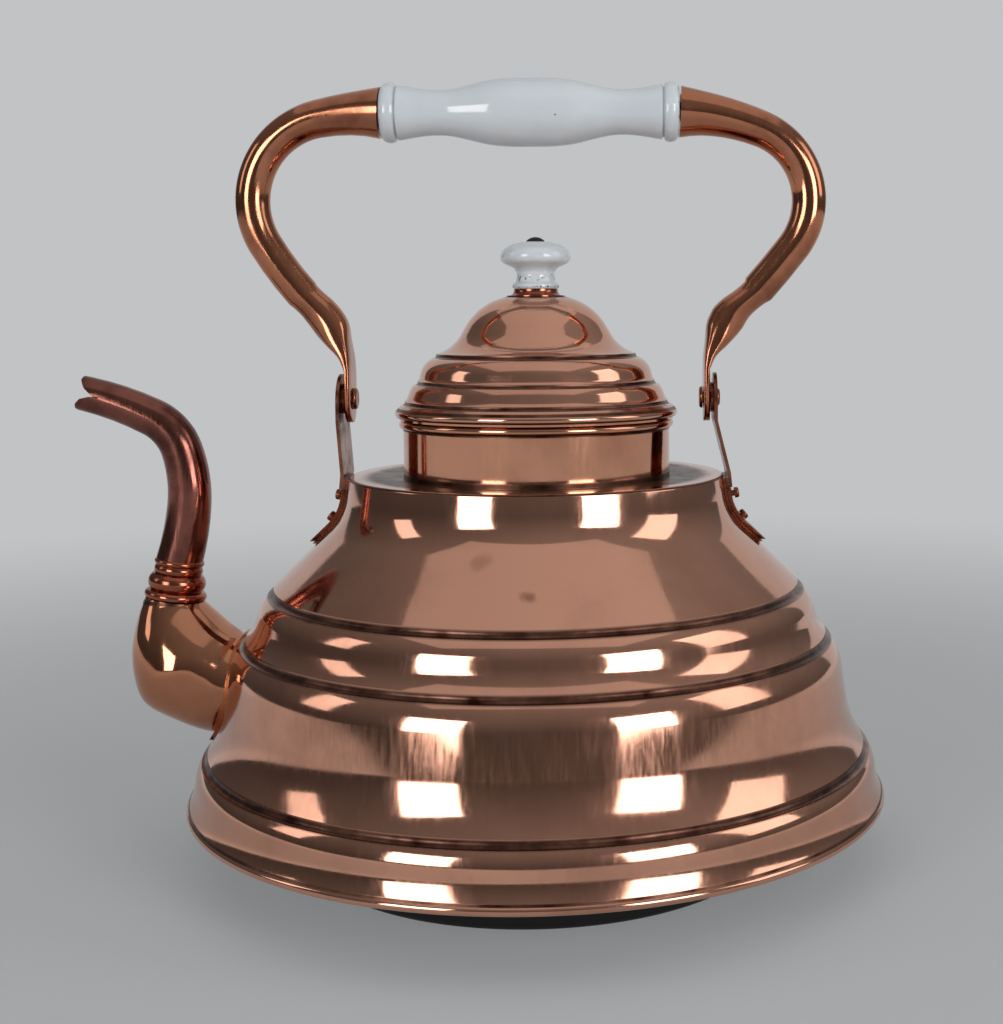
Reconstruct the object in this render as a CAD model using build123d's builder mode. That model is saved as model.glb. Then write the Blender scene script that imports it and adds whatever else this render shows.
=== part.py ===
from build123d import *
import os
from math import cos, exp, radians, sin

# A copper stove kettle: a spun body with a pan let into its base, a lift-off lid, a swan-neck
# spout and a swinging bail with a porcelain grip. The origin is the centre of the pan's flat
# underside, Z is up, the spout points along -X and the bail swings about an axis along X.
# Sizes are millimetres and angles degrees.

# sheet, wire and the gaps between joined pieces
COPPER_SHEET = 0.9
PAN_SHEET = 1.2
RIM_WIRE_DIAMETER = 1.9
NECK_WIRE_DIAMETER = 1.7
LID_WIRE_DIAMETER = 1.5
WIRE_CLEARANCE = 0.05
SOLDER_GAP = 0.1
SEAT_GAP = 0.3

# pan let into the base
PAN_RADIUS = 101.0
PAN_MOUTH_RADIUS = 104.5
PAN_CORNER_RADIUS = 4.5
PAN_LIP_CORNER_RADIUS = 2.5

# spun body from its rim up to its shoulder, where each step is (inwards, upwards)
RIM_RADIUS = 150.1
RIM_HEIGHT = 27.2
RIM_BEAD_DIAMETER = 3.7
RIM_TOP_STEP = (0.9, 1.5)
FOOT_FLARE_STEP = (2.7, 8.3)
FOOT_WALL_STEP = (0.5, 3.5)
FOOT_CROWN_STEP = (2.5, 6.1)
BELLY_FLARE_STEP = (7.1, 18.2)
BELLY_WALL_STEP = (2.4, 16.0)
BELLY_CROWN_STEP = (4.3, 9.6)
RING_FLARE_STEP = (4.6, 8.2)
RING_WALL_STEP = (0.6, 2.5)
RING_CROWN_STEP = (4.3, 7.1)
FLANK_STEP = (30.0, 28.6)
SHOULDER_WALL_STEP = (2.0, 17.2)
BODY_GROOVE_STEP = (2.4, 3.2)
BODY_GROOVE_DEPTH = 1.2
FLANK_BEND_RADIUS = 24.0
SHOULDER_EDGE_RADIUS = 1.3
SHOULDER_DISH = 0.8

# neck that the lid sits in
NECK_RADIUS = 57.65
NECK_HEIGHT = 24.0
NECK_DEPTH_INSIDE = 2.5
NECK_BEAD_DIAMETER = 3.6

# lid from its rim up to its crown, where each step is (inwards, upwards)
LID_RADIUS = 61.2
LID_BEAD_DIAMETER = 3.3
LID_EDGE_STEP = (1.2, 2.2)
LID_LOW_FLARE_STEP = (1.05, 1.55)
LID_LOW_WALL_STEP = (1.0, 2.5)
LID_LOW_CROWN_STEP = (1.7, 2.7)
LID_MIDDLE_FLARE_STEP = (0.85, 1.4)
LID_MIDDLE_WALL_STEP = (0.55, 2.1)
LID_MIDDLE_CROWN_STEP = (4.9, 6.1)
LID_DOME_FLARE_STEP = (10.8, 8.3)
LID_DOME_WALL_STEP = (2.0, 3.5)
LID_DOME_CROWN_STEP = (17.6, 12.6)
LID_GROOVE_STEP = (1.8, 1.9)
LID_GROOVE_DEPTH = 0.7
LID_PLUG_CLEARANCE = 0.4
LID_PLUG_DEPTH = 12.0
LID_PLUG_INSET = 1.9

# porcelain knob, its copper seat and its screw
KNOB_SEAT_FOOT_RADIUS = 12.7
KNOB_SEAT_TOP_RADIUS = 9.5
KNOB_SEAT_HEIGHT = 3.2
KNOB_BASE_RADIUS = 10.0
KNOB_BASE_HEIGHT = 1.6
KNOB_NECK_RADIUS = 8.1
KNOB_NECK_HEIGHT = 5.0
KNOB_RADIUS = 15.1
KNOB_WIDEST_HEIGHT = 13.9
KNOB_TOP_RADIUS = 6.5
KNOB_HEIGHT = 20.3
KNOB_UNDERSIDE_SHARE = 0.55
SCREW_HEAD_DIAMETER = 7.8
SCREW_HEAD_HEIGHT = 2.0
SCREW_HEAD_ROUNDING = 1.4
SCREW_DIAMETER = 4.0
SCREW_CLEARANCE = 0.1
SCREW_BELOW_NUT = 2.0
KNOB_WASHER_DIAMETER = 14.0
KNOB_WASHER_THICKNESS = 1.0
KNOB_NUT_WIDTH = 7.0
KNOB_NUT_THICKNESS = 3.0

# spout elbow, where each ring runs from its throat to its heel: (outwards, upwards) of the root
SPOUT_ROOT_RADIUS = 133.6
SPOUT_ROOT_HEIGHT = 71.0
SPOUT_ELBOW_RINGS = (
    ((-21.0, 17.4), (-8.0, -19.4)),
    ((-6.3, 20.9), (9.5, -20.2)),
    ((2.9, 27.2), (38.4, -6.9)),
    ((9.2, 33.9), (43.9, 17.2)),
)
SPOUT_COLLAR_WIDTH = 49.6
SPOUT_COLLAR_HEIGHT = 48.0
SPOUT_COLLAR_THICKNESS = 1.3

# spout ferrule, where each bead is (radius, height), and the swan neck's bends (radius, turn)
SPOUT_FERRULE_PLACE = (25.6, 38.4)
SPOUT_FERRULE_LEAN = 8.0
SPOUT_FERRULE_BEADS = ((13.1, 4.4), (12.1, 6.6), (10.7, 4.6), (10.3, 2.0))
SPOUT_BEAD_ROUNDING = 0.35
SPOUT_ELBOW_TOP_RADIUS = 12.6
SPOUT_TUBE_DIAMETER = 19.8
SPOUT_TIP_DIAMETER = 15.0
SPOUT_TUBE_HEADING = 72.9
SPOUT_TUBE_BENDS = ((117.0, 11.8), (60.0, 23.2), (24.6, 45.5), (133.0, 16.4))
SPOUT_TUBE_RING_SPACING = 6.5
SPOUT_TIP_LIP_SETBACK = 3.4
SPOUT_TIP_NOTCH_DEPTH = 8.4

# ears that carry the bail, riveted to the shoulder
PIVOT_ABOVE_SHOULDER = 32.9
EAR_THICKNESS = 1.5
EAR_WIDTH = 25.0
EAR_ABOVE_PIVOT = 10.8
EAR_PAD_BELOW_PIVOT = 9.5
EAR_LAP = 4.0
EAR_BEND_ABOVE_SHOULDER = 1.0
EAR_BELOW_SHOULDER = 1.2
EAR_FOOT_LENGTH = 29.5
EAR_FOOT_TIP_RADIUS = 5.0
EAR_BACKING_THICKNESS = 1.0
EAR_BACKING_MARGIN = 1.0
EAR_RIVET_DISTANCES = (9.7, 22.0)
EAR_RIVET_STANDOFFS = (1.2, 0.3)
EAR_RIVET_DIAMETER = 2.6
EAR_RIVET_CLEARANCE = 0.05
EAR_RIVET_HEAD_DIAMETER = 4.6
EAR_RIVET_HEAD_HEIGHT = 2.0
EAR_RIVET_HEAD_ROUNDING = 0.8
EAR_RIVET_TAIL_HEIGHT = 1.2

# bail pivots
BAIL_OFFSET = -1.7
LUG_PLACE_LEFT = 79.3
LUG_PLACE_RIGHT = 75.5
LUG_THICKNESS = 2.9
LUG_RADIUS = 10.3
LUG_ABOVE_PIVOT = 14.5
PIVOT_WASHER_DIAMETER = 13.0
PIVOT_WASHER_THICKNESS = 1.0
PIVOT_RIVET_DIAMETER = 5.0
PIVOT_RIVET_HEAD_DIAMETER = 9.4
PIVOT_RIVET_HEAD_HEIGHT = 1.4
PIVOT_RIVET_HEAD_ROUNDING = 1.1
PIVOT_RIVET_TAIL_DIAMETER = 7.6
PIVOT_RUNNING_CLEARANCE = 0.05
PIVOT_END_PLAY = 0.3

# bail arms: the bends are (radius, turn), the flattened rings
# (height above the pivot, distance outwards of the lug, thickness, width)
GRIP_ABOVE_PIVOT = 123.0
ARM_WALL = 1.1
ARM_START = 64.5
ARM_END_DIAMETER = 22.2
ARM_DIAMETER = 14.7
ARM_FLARE_LENGTH = 18.0
ARM_RING_SPACING = 12.0
ARM_HEADING_LEFT = 1.7
ARM_BENDS_LEFT = ((115.0, -13.5), (36.0, -109.5), (151.0, -13.3))
ARM_HEADING_RIGHT = -2.1
ARM_BENDS_RIGHT = ((103.0, -20.0), (33.0, -105.7), (330.0, -6.1))
ARM_FLAT_RINGS = (
    (31.8, 8.6, 18.0, 16.5),
    (25.0, 4.7, 11.6, 17.8),
    (18.6, 1.5, 5.8, 19.2),
    (12.5, 0.0, 2.9, 20.2),
)

# porcelain grip and the rod through it
GRIP_LENGTH = 127.8
GRIP_DIAMETER = 29.4
GRIP_WAIST_DIAMETER = 19.4
GRIP_WAIST_PLACE = 40.5
GRIP_FLARE_DIAMETER = 23.4
GRIP_FLARE_PLACE = 56.5
GRIP_COLLAR_PLACE = 57.6
GRIP_COLLAR_DIAMETER = 25.8
GRIP_END_DIAMETER = 22.6
GRIP_ROD_DIAMETER = 8.0
GRIP_BORE_CLEARANCE = 0.5
ARM_PLUG_LENGTH = 9.0
ARM_PLUG_DIAMETER = 15.0


def step_up(point, step):
    """Returns the outline point that lies one step inwards and upwards of another."""
    return (point[0] - step[0], point[1] + step[1])


def between(low, high, share):
    """Returns the point that lies a share of the way from one outline point to the next."""
    return (low[0] + (high[0] - low[0]) * share, low[1] + (high[1] - low[1]) * share)


# points of the body's outline, from the rim upwards
RIM_BEAD_RADIUS = RIM_BEAD_DIAMETER / 2
RIM_BEAD_CENTRE = (RIM_RADIUS - RIM_BEAD_RADIUS, RIM_HEIGHT)
RIM_TOP = (RIM_RADIUS - RIM_TOP_STEP[0], RIM_HEIGHT + RIM_TOP_STEP[1])
FOOT_WALL_LOW = step_up(RIM_TOP, FOOT_FLARE_STEP)
FOOT_WALL_HIGH = step_up(FOOT_WALL_LOW, FOOT_WALL_STEP)
GROOVE_3_LOW = step_up(FOOT_WALL_HIGH, FOOT_CROWN_STEP)
GROOVE_3_HIGH = step_up(GROOVE_3_LOW, BODY_GROOVE_STEP)
BELLY_WALL_LOW = step_up(GROOVE_3_HIGH, BELLY_FLARE_STEP)
BELLY_WALL_HIGH = step_up(BELLY_WALL_LOW, BELLY_WALL_STEP)
GROOVE_2_LOW = step_up(BELLY_WALL_HIGH, BELLY_CROWN_STEP)
GROOVE_2_HIGH = step_up(GROOVE_2_LOW, BODY_GROOVE_STEP)
RING_WALL_LOW = step_up(GROOVE_2_HIGH, RING_FLARE_STEP)
RING_WALL_HIGH = step_up(RING_WALL_LOW, RING_WALL_STEP)
GROOVE_1_LOW = step_up(RING_WALL_HIGH, RING_CROWN_STEP)
GROOVE_1_HIGH = step_up(GROOVE_1_LOW, BODY_GROOVE_STEP)
FLANK_HIGH = step_up(GROOVE_1_HIGH, FLANK_STEP)
SHOULDER_EDGE = step_up(FLANK_HIGH, SHOULDER_WALL_STEP)
SHOULDER_HEIGHT = SHOULDER_EDGE[1]
NECK_SEAT_HEIGHT = SHOULDER_HEIGHT - SHOULDER_DISH

# the neck's bead and the points of the lid's outline, from its rim upwards
NECK_TOP_HEIGHT = SHOULDER_HEIGHT + NECK_HEIGHT
NECK_BEAD_RADIUS = NECK_BEAD_DIAMETER / 2
NECK_BEAD_CENTRE = (NECK_RADIUS, NECK_TOP_HEIGHT - NECK_BEAD_RADIUS)
NECK_MOUTH_RADIUS = NECK_RADIUS - NECK_BEAD_RADIUS
LID_PLUG_LOW = NECK_TOP_HEIGHT + SEAT_GAP
LID_PLUG_HIGH = LID_PLUG_LOW + COPPER_SHEET
LID_BEAD_RADIUS = LID_BEAD_DIAMETER / 2
LID_BEAD_CENTRE = (LID_RADIUS - LID_BEAD_RADIUS, LID_PLUG_HIGH + LID_BEAD_RADIUS)
LID_EDGE = (LID_BEAD_CENTRE[0] + LID_BEAD_RADIUS / 5, LID_BEAD_CENTRE[1] + LID_BEAD_RADIUS * 0.75)
LID_GROOVE_3_LOW = step_up(LID_EDGE, LID_EDGE_STEP)
LID_GROOVE_3_HIGH = step_up(LID_GROOVE_3_LOW, LID_GROOVE_STEP)
LID_LOW_WALL_LOW = step_up(LID_GROOVE_3_HIGH, LID_LOW_FLARE_STEP)
LID_LOW_WALL_HIGH = step_up(LID_LOW_WALL_LOW, LID_LOW_WALL_STEP)
LID_GROOVE_2_LOW = step_up(LID_LOW_WALL_HIGH, LID_LOW_CROWN_STEP)
LID_GROOVE_2_HIGH = step_up(LID_GROOVE_2_LOW, LID_GROOVE_STEP)
LID_MIDDLE_WALL_LOW = step_up(LID_GROOVE_2_HIGH, LID_MIDDLE_FLARE_STEP)
LID_MIDDLE_WALL_HIGH = step_up(LID_MIDDLE_WALL_LOW, LID_MIDDLE_WALL_STEP)
LID_GROOVE_1_LOW = step_up(LID_MIDDLE_WALL_HIGH, LID_MIDDLE_CROWN_STEP)
LID_GROOVE_1_HIGH = step_up(LID_GROOVE_1_LOW, LID_GROOVE_STEP)
LID_DOME_WALL_LOW = step_up(LID_GROOVE_1_HIGH, LID_DOME_FLARE_STEP)
LID_DOME_WALL_HIGH = step_up(LID_DOME_WALL_LOW, LID_DOME_WALL_STEP)
LID_CROWN = step_up(LID_DOME_WALL_HIGH, LID_DOME_CROWN_STEP)
LID_TOP_HEIGHT = LID_CROWN[1]
KNOB_SEAT_LOW = LID_TOP_HEIGHT + SOLDER_GAP
KNOB_LOW = KNOB_SEAT_LOW + KNOB_SEAT_HEIGHT + SOLDER_GAP
KNOB_HIGH = KNOB_LOW + KNOB_HEIGHT

# heights of the bail and how far each lug lies from the kettle's axis
PIVOT_HEIGHT = SHOULDER_HEIGHT + PIVOT_ABOVE_SHOULDER
GRIP_HEIGHT = PIVOT_HEIGHT + GRIP_ABOVE_PIVOT
LUG_X_LEFT = LUG_PLACE_LEFT - BAIL_OFFSET
LUG_X_RIGHT = LUG_PLACE_RIGHT + BAIL_OFFSET
EAR_LAYER_LOW = EAR_BACKING_THICKNESS + 2 * SOLDER_GAP

os.makedirs("parts", exist_ok=True)
finished = {}


def finish(name, piece):
    """Labels a finished piece, writes it and keeps its solids for the closing report."""
    piece.part.label = name
    export_step(piece.part, f"parts/{name}.step")
    finished[name] = piece.part.solids()


def groove(low, high, depth):
    """Draws the rounded groove between two tiers of a turned wall."""
    middle = between(low, high, 0.5)
    run = Vector(high[0] - low[0], high[1] - low[1]).normalized()
    bottom = (middle[0] - run.Y * depth, middle[1] + run.X * depth)
    ThreePointArc(low, bottom, high)


def tier(flare_low, wall_low, wall_high, crown_high):
    """Draws one tier of a turned wall: a hollow flare, a nearly upright wall, a round crown."""
    run = Vector(wall_high[0] - wall_low[0], wall_high[1] - wall_low[1])
    TangentArc(wall_low, flare_low, tangent=-run)
    Line(wall_low, wall_high)
    TangentArc(wall_high, crown_high, tangent=run)


def close_behind_axis(high, low):
    """Closes an outline through points behind the axis, so that an offset leaves no gap there."""
    Polyline(high, (-NECK_RADIUS, high[1]), (-NECK_RADIUS, low[1]), low)


def grow_and_halve(grow):
    """Grows or shrinks the sketch in hand by an even amount and keeps its half beyond the axis."""
    if grow:
        offset(amount=grow, kind=Kind.INTERSECTION)
    split(bisect_by=Plane.YZ, keep=Keep.TOP)


def body_section(grow):
    """Returns the half section within the body's outer face, grown or shrunk by an even amount."""
    neck_foot = (NECK_RADIUS, NECK_SEAT_HEIGHT)
    with BuildSketch(Plane.XZ) as section:
        with BuildLine():
            tier(RIM_TOP, FOOT_WALL_LOW, FOOT_WALL_HIGH, GROOVE_3_LOW)
            groove(GROOVE_3_LOW, GROOVE_3_HIGH, BODY_GROOVE_DEPTH)
            tier(GROOVE_3_HIGH, BELLY_WALL_LOW, BELLY_WALL_HIGH, GROOVE_2_LOW)
            groove(GROOVE_2_LOW, GROOVE_2_HIGH, BODY_GROOVE_DEPTH)
            tier(GROOVE_2_HIGH, RING_WALL_LOW, RING_WALL_HIGH, GROOVE_1_LOW)
            groove(GROOVE_1_LOW, GROOVE_1_HIGH, BODY_GROOVE_DEPTH)
            FilletPolyline(GROOVE_1_HIGH, FLANK_HIGH, SHOULDER_EDGE, radius=FLANK_BEND_RADIUS)
            Line(SHOULDER_EDGE, neck_foot)
            close_behind_axis(neck_foot, RIM_TOP)
        make_face()
        edge = section.vertices().sort_by_distance(SHOULDER_EDGE)[0]
        fillet(edge, SHOULDER_EDGE_RADIUS)
        grow_and_halve(grow)
    return section.sketch_local


def belly_section(grow):
    """Returns the half section under the belly, grown or shrunk by an even amount."""
    with BuildSketch(Plane.XZ) as section:
        with BuildLine():
            tier(GROOVE_3_HIGH, BELLY_WALL_LOW, BELLY_WALL_HIGH, GROOVE_2_LOW)
            close_behind_axis(GROOVE_2_LOW, GROOVE_3_HIGH)
        make_face()
        grow_and_halve(grow)
    return section.sketch_local


def flank_section(grow):
    """Returns the half section under the flank and shoulder wall, grown by an even amount."""
    with BuildSketch(Plane.XZ) as section:
        with BuildLine():
            FilletPolyline(GROOVE_1_HIGH, FLANK_HIGH, SHOULDER_EDGE, radius=FLANK_BEND_RADIUS)
            close_behind_axis(SHOULDER_EDGE, GROOVE_1_HIGH)
        make_face()
        grow_and_halve(grow)
    return section.sketch_local


def lid_section(grow):
    """Returns the half section under the lid's outer face, grown or shrunk by an even amount."""
    with BuildSketch(Plane.XZ) as section:
        with BuildLine():
            Line(LID_EDGE, LID_GROOVE_3_LOW)
            groove(LID_GROOVE_3_LOW, LID_GROOVE_3_HIGH, LID_GROOVE_DEPTH)
            tier(LID_GROOVE_3_HIGH, LID_LOW_WALL_LOW, LID_LOW_WALL_HIGH, LID_GROOVE_2_LOW)
            groove(LID_GROOVE_2_LOW, LID_GROOVE_2_HIGH, LID_GROOVE_DEPTH)
            tier(LID_GROOVE_2_HIGH, LID_MIDDLE_WALL_LOW, LID_MIDDLE_WALL_HIGH, LID_GROOVE_1_LOW)
            groove(LID_GROOVE_1_LOW, LID_GROOVE_1_HIGH, LID_GROOVE_DEPTH)
            tier(LID_GROOVE_1_HIGH, LID_DOME_WALL_LOW, LID_DOME_WALL_HIGH, LID_CROWN)
            close_behind_axis(LID_CROWN, LID_EDGE)
        make_face()
        grow_and_halve(grow)
    return section.sketch_local


def turned(sketch_high, sketch_low=None):
    """Returns the solid turned from one half section, less that of another."""
    with BuildPart() as solid:
        with BuildSketch(Plane.XZ):
            add(sketch_high)
            if sketch_low:
                add(sketch_low, mode=Mode.SUBTRACT)
        revolve(axis=Axis.Z)
    return solid.part


def wired_bead(centre, bead_radius, wire_diameter):
    """Adds an edge rolled round a wire to the sketch in hand."""
    with Locations(centre):
        Circle(bead_radius)
        Circle(wire_diameter / 2 + WIRE_CLEARANCE, mode=Mode.SUBTRACT)


def bend_chain(start, heading, bends):
    """Returns the arcs of a bent pipe's centre line, drawn in X and Z, with left turns positive."""
    arcs = []
    place = Vector(start[0], start[1])
    direction = Vector(cos(radians(heading)), sin(radians(heading)))
    for radius, turn in bends:
        arc = JernArc(start=place, tangent=direction, radius=radius, arc_size=turn)
        arcs.append(arc)
        place = arc @ 1
        direction = arc % 1
    return arcs


def square_plane(place, direction):
    """Returns the plane square to a pipe's centre line that was drawn in X and Z."""
    return Plane(
        origin=(place.X, 0, place.Y), x_dir=(0, 1, 0), z_dir=(direction.X, 0, direction.Y)
    )


def chain_planes(arcs, ring_spacing):
    """Returns (plane, distance along the pipe) for evenly spaced rings along a chain of arcs."""
    planes = [(square_plane(arcs[0] @ 0, arcs[0] % 0), 0.0)]
    run = 0.0
    for arc in arcs:
        rings = max(2, round(arc.length / ring_spacing))
        for ring in range(1, rings + 1):
            share = ring / rings
            planes.append((square_plane(arc @ share, arc % share), run + arc.length * share))
        run += arc.length
    return planes


def hollow(outside, bore):
    """Returns the pipe between two lofts through the same planes, joined from their faces."""
    walls = [face for face in outside.faces() if face.geom_type != GeomType.PLANE]
    walls += [face for face in bore.faces() if face.geom_type != GeomType.PLANE]
    bore_ends = bore.faces().filter_by(GeomType.PLANE)
    for end in outside.faces().filter_by(GeomType.PLANE):
        bore_end = bore_ends.sort_by_distance(end.center())[0]
        walls.append(Face(end.outer_wire(), [bore_end.outer_wire()]))
    return Solid(Shell(walls))


# rim wire: an iron ring that the body's lower edge is rolled round
with BuildPart() as rim_wire:
    with BuildSketch(Plane.XZ):
        with Locations(RIM_BEAD_CENTRE):
            Circle(RIM_WIRE_DIAMETER / 2)
    revolve(axis=Axis.Z)
finish("rim_wire", rim_wire)

# base pan: a pressed floor and wall with a flat lip that is soldered inside the rolled rim
pan_lip_low = RIM_HEIGHT - PAN_SHEET / 2
pan_lip_high = RIM_HEIGHT + PAN_SHEET / 2
pan_lip_radius = RIM_RADIUS - RIM_BEAD_DIAMETER - SOLDER_GAP
with BuildPart() as base_pan:
    with BuildSketch(Plane.XZ) as pan_section:
        with BuildLine():
            Polyline(
                (-PAN_SHEET, 0),
                (PAN_RADIUS, 0),
                (PAN_MOUTH_RADIUS, pan_lip_low),
                (pan_lip_radius, pan_lip_low),
                (pan_lip_radius, pan_lip_high),
                (-PAN_SHEET, pan_lip_high),
                close=True,
            )
        make_face()
        foot = pan_section.vertices().sort_by_distance((PAN_RADIUS, 0))[0]
        fillet(foot, PAN_CORNER_RADIUS)
        mouth = pan_section.vertices().sort_by_distance((PAN_MOUTH_RADIUS, pan_lip_low))[0]
        fillet(mouth, PAN_LIP_CORNER_RADIUS)
        with BuildLine():
            Polyline(
                (-PAN_SHEET, PAN_SHEET),
                (PAN_RADIUS - PAN_SHEET, PAN_SHEET),
                (PAN_MOUTH_RADIUS - PAN_SHEET, pan_lip_high),
                (-PAN_SHEET, pan_lip_high),
                close=True,
            )
        make_face(mode=Mode.SUBTRACT)
        inner_foot = pan_section.vertices().sort_by_distance((PAN_RADIUS - PAN_SHEET, PAN_SHEET))[0]
        fillet(inner_foot, PAN_CORNER_RADIUS - PAN_SHEET)
        split(bisect_by=Plane.YZ, keep=Keep.TOP)
    revolve(axis=Axis.Z)
finish("base_pan", base_pan)

# spout elbow's own forms: its outside and its bore
ferrule_up = Vector(sin(radians(SPOUT_FERRULE_LEAN)), 0, cos(radians(SPOUT_FERRULE_LEAN)))
ferrule_foot = Vector(
    -SPOUT_ROOT_RADIUS - SPOUT_FERRULE_PLACE[0], 0, SPOUT_ROOT_HEIGHT + SPOUT_FERRULE_PLACE[1]
)
ferrule_height = sum(height for radius, height in SPOUT_FERRULE_BEADS)


def elbow_form(grow):
    """Returns the spout elbow's form, grown or shrunk, from inside the body to the ferrule."""
    with BuildPart() as horn:
        for throat, heel in SPOUT_ELBOW_RINGS:
            upper = Vector(-SPOUT_ROOT_RADIUS - throat[0], 0, SPOUT_ROOT_HEIGHT + throat[1])
            lower = Vector(-SPOUT_ROOT_RADIUS - heel[0], 0, SPOUT_ROOT_HEIGHT + heel[1])
            across = upper - lower
            heading = Vector(0, 1, 0).cross(across)
            with BuildSketch(Plane((upper + lower) * 0.5, x_dir=(0, 1, 0), z_dir=-heading)):
                Circle(across.length / 2 + grow)
        with BuildSketch(Plane(ferrule_foot, x_dir=(0, 1, 0), z_dir=ferrule_up)):
            Circle(SPOUT_ELBOW_TOP_RADIUS + grow)
        loft()
    return horn.part


elbow_outside = elbow_form(0.0)
elbow_bore = elbow_form(-COPPER_SHEET)

# rivet places on the flank, measured along it from the shoulder's edge
flank_line = FilletPolyline(GROOVE_1_HIGH, FLANK_HIGH, SHOULDER_EDGE, radius=FLANK_BEND_RADIUS)
ear_rivet_planes = []
for rivet_distance in EAR_RIVET_DISTANCES:
    share = 1 - rivet_distance / flank_line.length
    rivet_place = flank_line @ share
    rivet_run = flank_line % share
    ear_rivet_planes.append(
        Plane(
            origin=(rivet_place.X, 0, rivet_place.Y),
            x_dir=(0, 1, 0),
            z_dir=(rivet_run.Y, 0, -rivet_run.X),
        )
    )


def rivet_holes():
    """Returns the drillings for the right ear's rivets, through every layer."""
    reach = COPPER_SHEET + EAR_LAYER_LOW + EAR_THICKNESS
    with BuildPart() as holes:
        for plane in ear_rivet_planes:
            with BuildSketch(plane):
                Circle(EAR_RIVET_DIAMETER / 2 + EAR_RIVET_CLEARANCE)
            extrude(amount=2 * reach, both=True)
    return holes.part


ear_holes = rivet_holes()

# body shell: one spun sheet from the neck's hole in the shoulder down to the rolled rim
with BuildPart() as body_shell:
    with BuildSketch(Plane.XZ):
        add(body_section(0.0))
        add(body_section(-COPPER_SHEET), mode=Mode.SUBTRACT)
        with Locations((0, NECK_SEAT_HEIGHT)):
            Rectangle(2 * (NECK_RADIUS + SOLDER_GAP), 4 * COPPER_SHEET, mode=Mode.SUBTRACT)
        with Locations((0, RIM_TOP[1])):
            Rectangle(2 * (RIM_TOP[0] - COPPER_SHEET), 4 * COPPER_SHEET, mode=Mode.SUBTRACT)
        wired_bead(RIM_BEAD_CENTRE, RIM_BEAD_RADIUS, RIM_WIRE_DIAMETER)
    revolve(axis=Axis.Z)
    add(elbow_bore, mode=Mode.SUBTRACT)
    add(ear_holes, mode=Mode.SUBTRACT)
    mirror(ear_holes, about=Plane.YZ, mode=Mode.SUBTRACT)
finish("body_shell", body_shell)

# neck wire and neck collar: a short tube let through the shoulder, rolled round its wire
with BuildPart() as neck_wire:
    with BuildSketch(Plane.XZ):
        with Locations(NECK_BEAD_CENTRE):
            Circle(NECK_WIRE_DIAMETER / 2)
    revolve(axis=Axis.Z)
finish("neck_wire", neck_wire)

neck_low = NECK_SEAT_HEIGHT - NECK_DEPTH_INSIDE
neck_wall_high = NECK_TOP_HEIGHT - NECK_BEAD_DIAMETER + COPPER_SHEET
with BuildPart() as neck_collar:
    with BuildSketch(Plane.XZ):
        with Locations((NECK_RADIUS - COPPER_SHEET / 2, (neck_low + neck_wall_high) / 2)):
            Rectangle(COPPER_SHEET, neck_wall_high - neck_low)
        wired_bead(NECK_BEAD_CENTRE, NECK_BEAD_RADIUS, NECK_WIRE_DIAMETER)
    revolve(axis=Axis.Z)
finish("neck_collar", neck_collar)

# spout elbow: a wide horn soldered over a hole in the belly
elbow_pipe = hollow(elbow_outside, elbow_bore)
body_form = turned(body_section(0.0))
with BuildPart() as spout_elbow:
    add(elbow_pipe)
    add(body_form, mode=Mode.SUBTRACT)
finish("spout_elbow", spout_elbow)

# spout collar: the flat soldered flange round the elbow's root
with BuildPart() as spout_collar:
    with BuildSketch(Plane.YZ.offset(-RIM_RADIUS)):
        with Locations((0, SPOUT_ROOT_HEIGHT)):
            Ellipse(SPOUT_COLLAR_WIDTH / 2, SPOUT_COLLAR_HEIGHT / 2)
    extrude(amount=RIM_RADIUS - NECK_RADIUS)
    add(turned(belly_section(SPOUT_COLLAR_THICKNESS)), mode=Mode.INTERSECT)
    add(body_form, mode=Mode.SUBTRACT)
    add(elbow_form(SOLDER_GAP), mode=Mode.SUBTRACT)
finish("spout_collar", spout_collar)

# spout ferrule: a turned ring of stacked beads between the elbow and the swan neck
ferrule_bore = SPOUT_TUBE_DIAMETER / 2 - COPPER_SHEET
with BuildPart() as spout_ferrule:
    with BuildSketch(Plane(ferrule_foot, x_dir=(0, 1, 0), z_dir=Vector(0, 1, 0).cross(ferrule_up))):
        bead_low = 0.0
        for bead_radius, bead_height in SPOUT_FERRULE_BEADS:
            bead_width = bead_radius - ferrule_bore
            bead_rounding = min(bead_height, bead_width) * SPOUT_BEAD_ROUNDING
            bead_core = bead_width - bead_rounding
            with Locations((ferrule_bore + bead_core / 2, bead_low + bead_height / 2)):
                Rectangle(bead_core, bead_height)
            with Locations((ferrule_bore + bead_core, bead_low + bead_height / 2)):
                Circle(bead_rounding)
            bead_low += bead_height
    revolve(axis=Axis(ferrule_foot, ferrule_up))
finish("spout_ferrule", spout_ferrule)

# swan neck: a tapering tube with a fish-mouth tip
ferrule_top = ferrule_foot + ferrule_up * ferrule_height
tube_arcs = bend_chain((ferrule_top.X, ferrule_top.Z), SPOUT_TUBE_HEADING, SPOUT_TUBE_BENDS)
tube_length = sum(arc.length for arc in tube_arcs)


def swan_neck(shrink):
    """Returns the swan neck's form, shrunk by an even amount."""
    with BuildPart() as pipe:
        with BuildSketch(Plane(ferrule_top, x_dir=(0, 1, 0), z_dir=ferrule_up)):
            Circle(SPOUT_TUBE_DIAMETER / 2 - shrink)
        for plane, run in chain_planes(tube_arcs, SPOUT_TUBE_RING_SPACING)[1:]:
            share = run / tube_length
            taper = SPOUT_TUBE_DIAMETER + (SPOUT_TIP_DIAMETER - SPOUT_TUBE_DIAMETER) * share
            with BuildSketch(plane):
                Circle(taper / 2 - shrink)
        loft()
    return pipe.part


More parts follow.
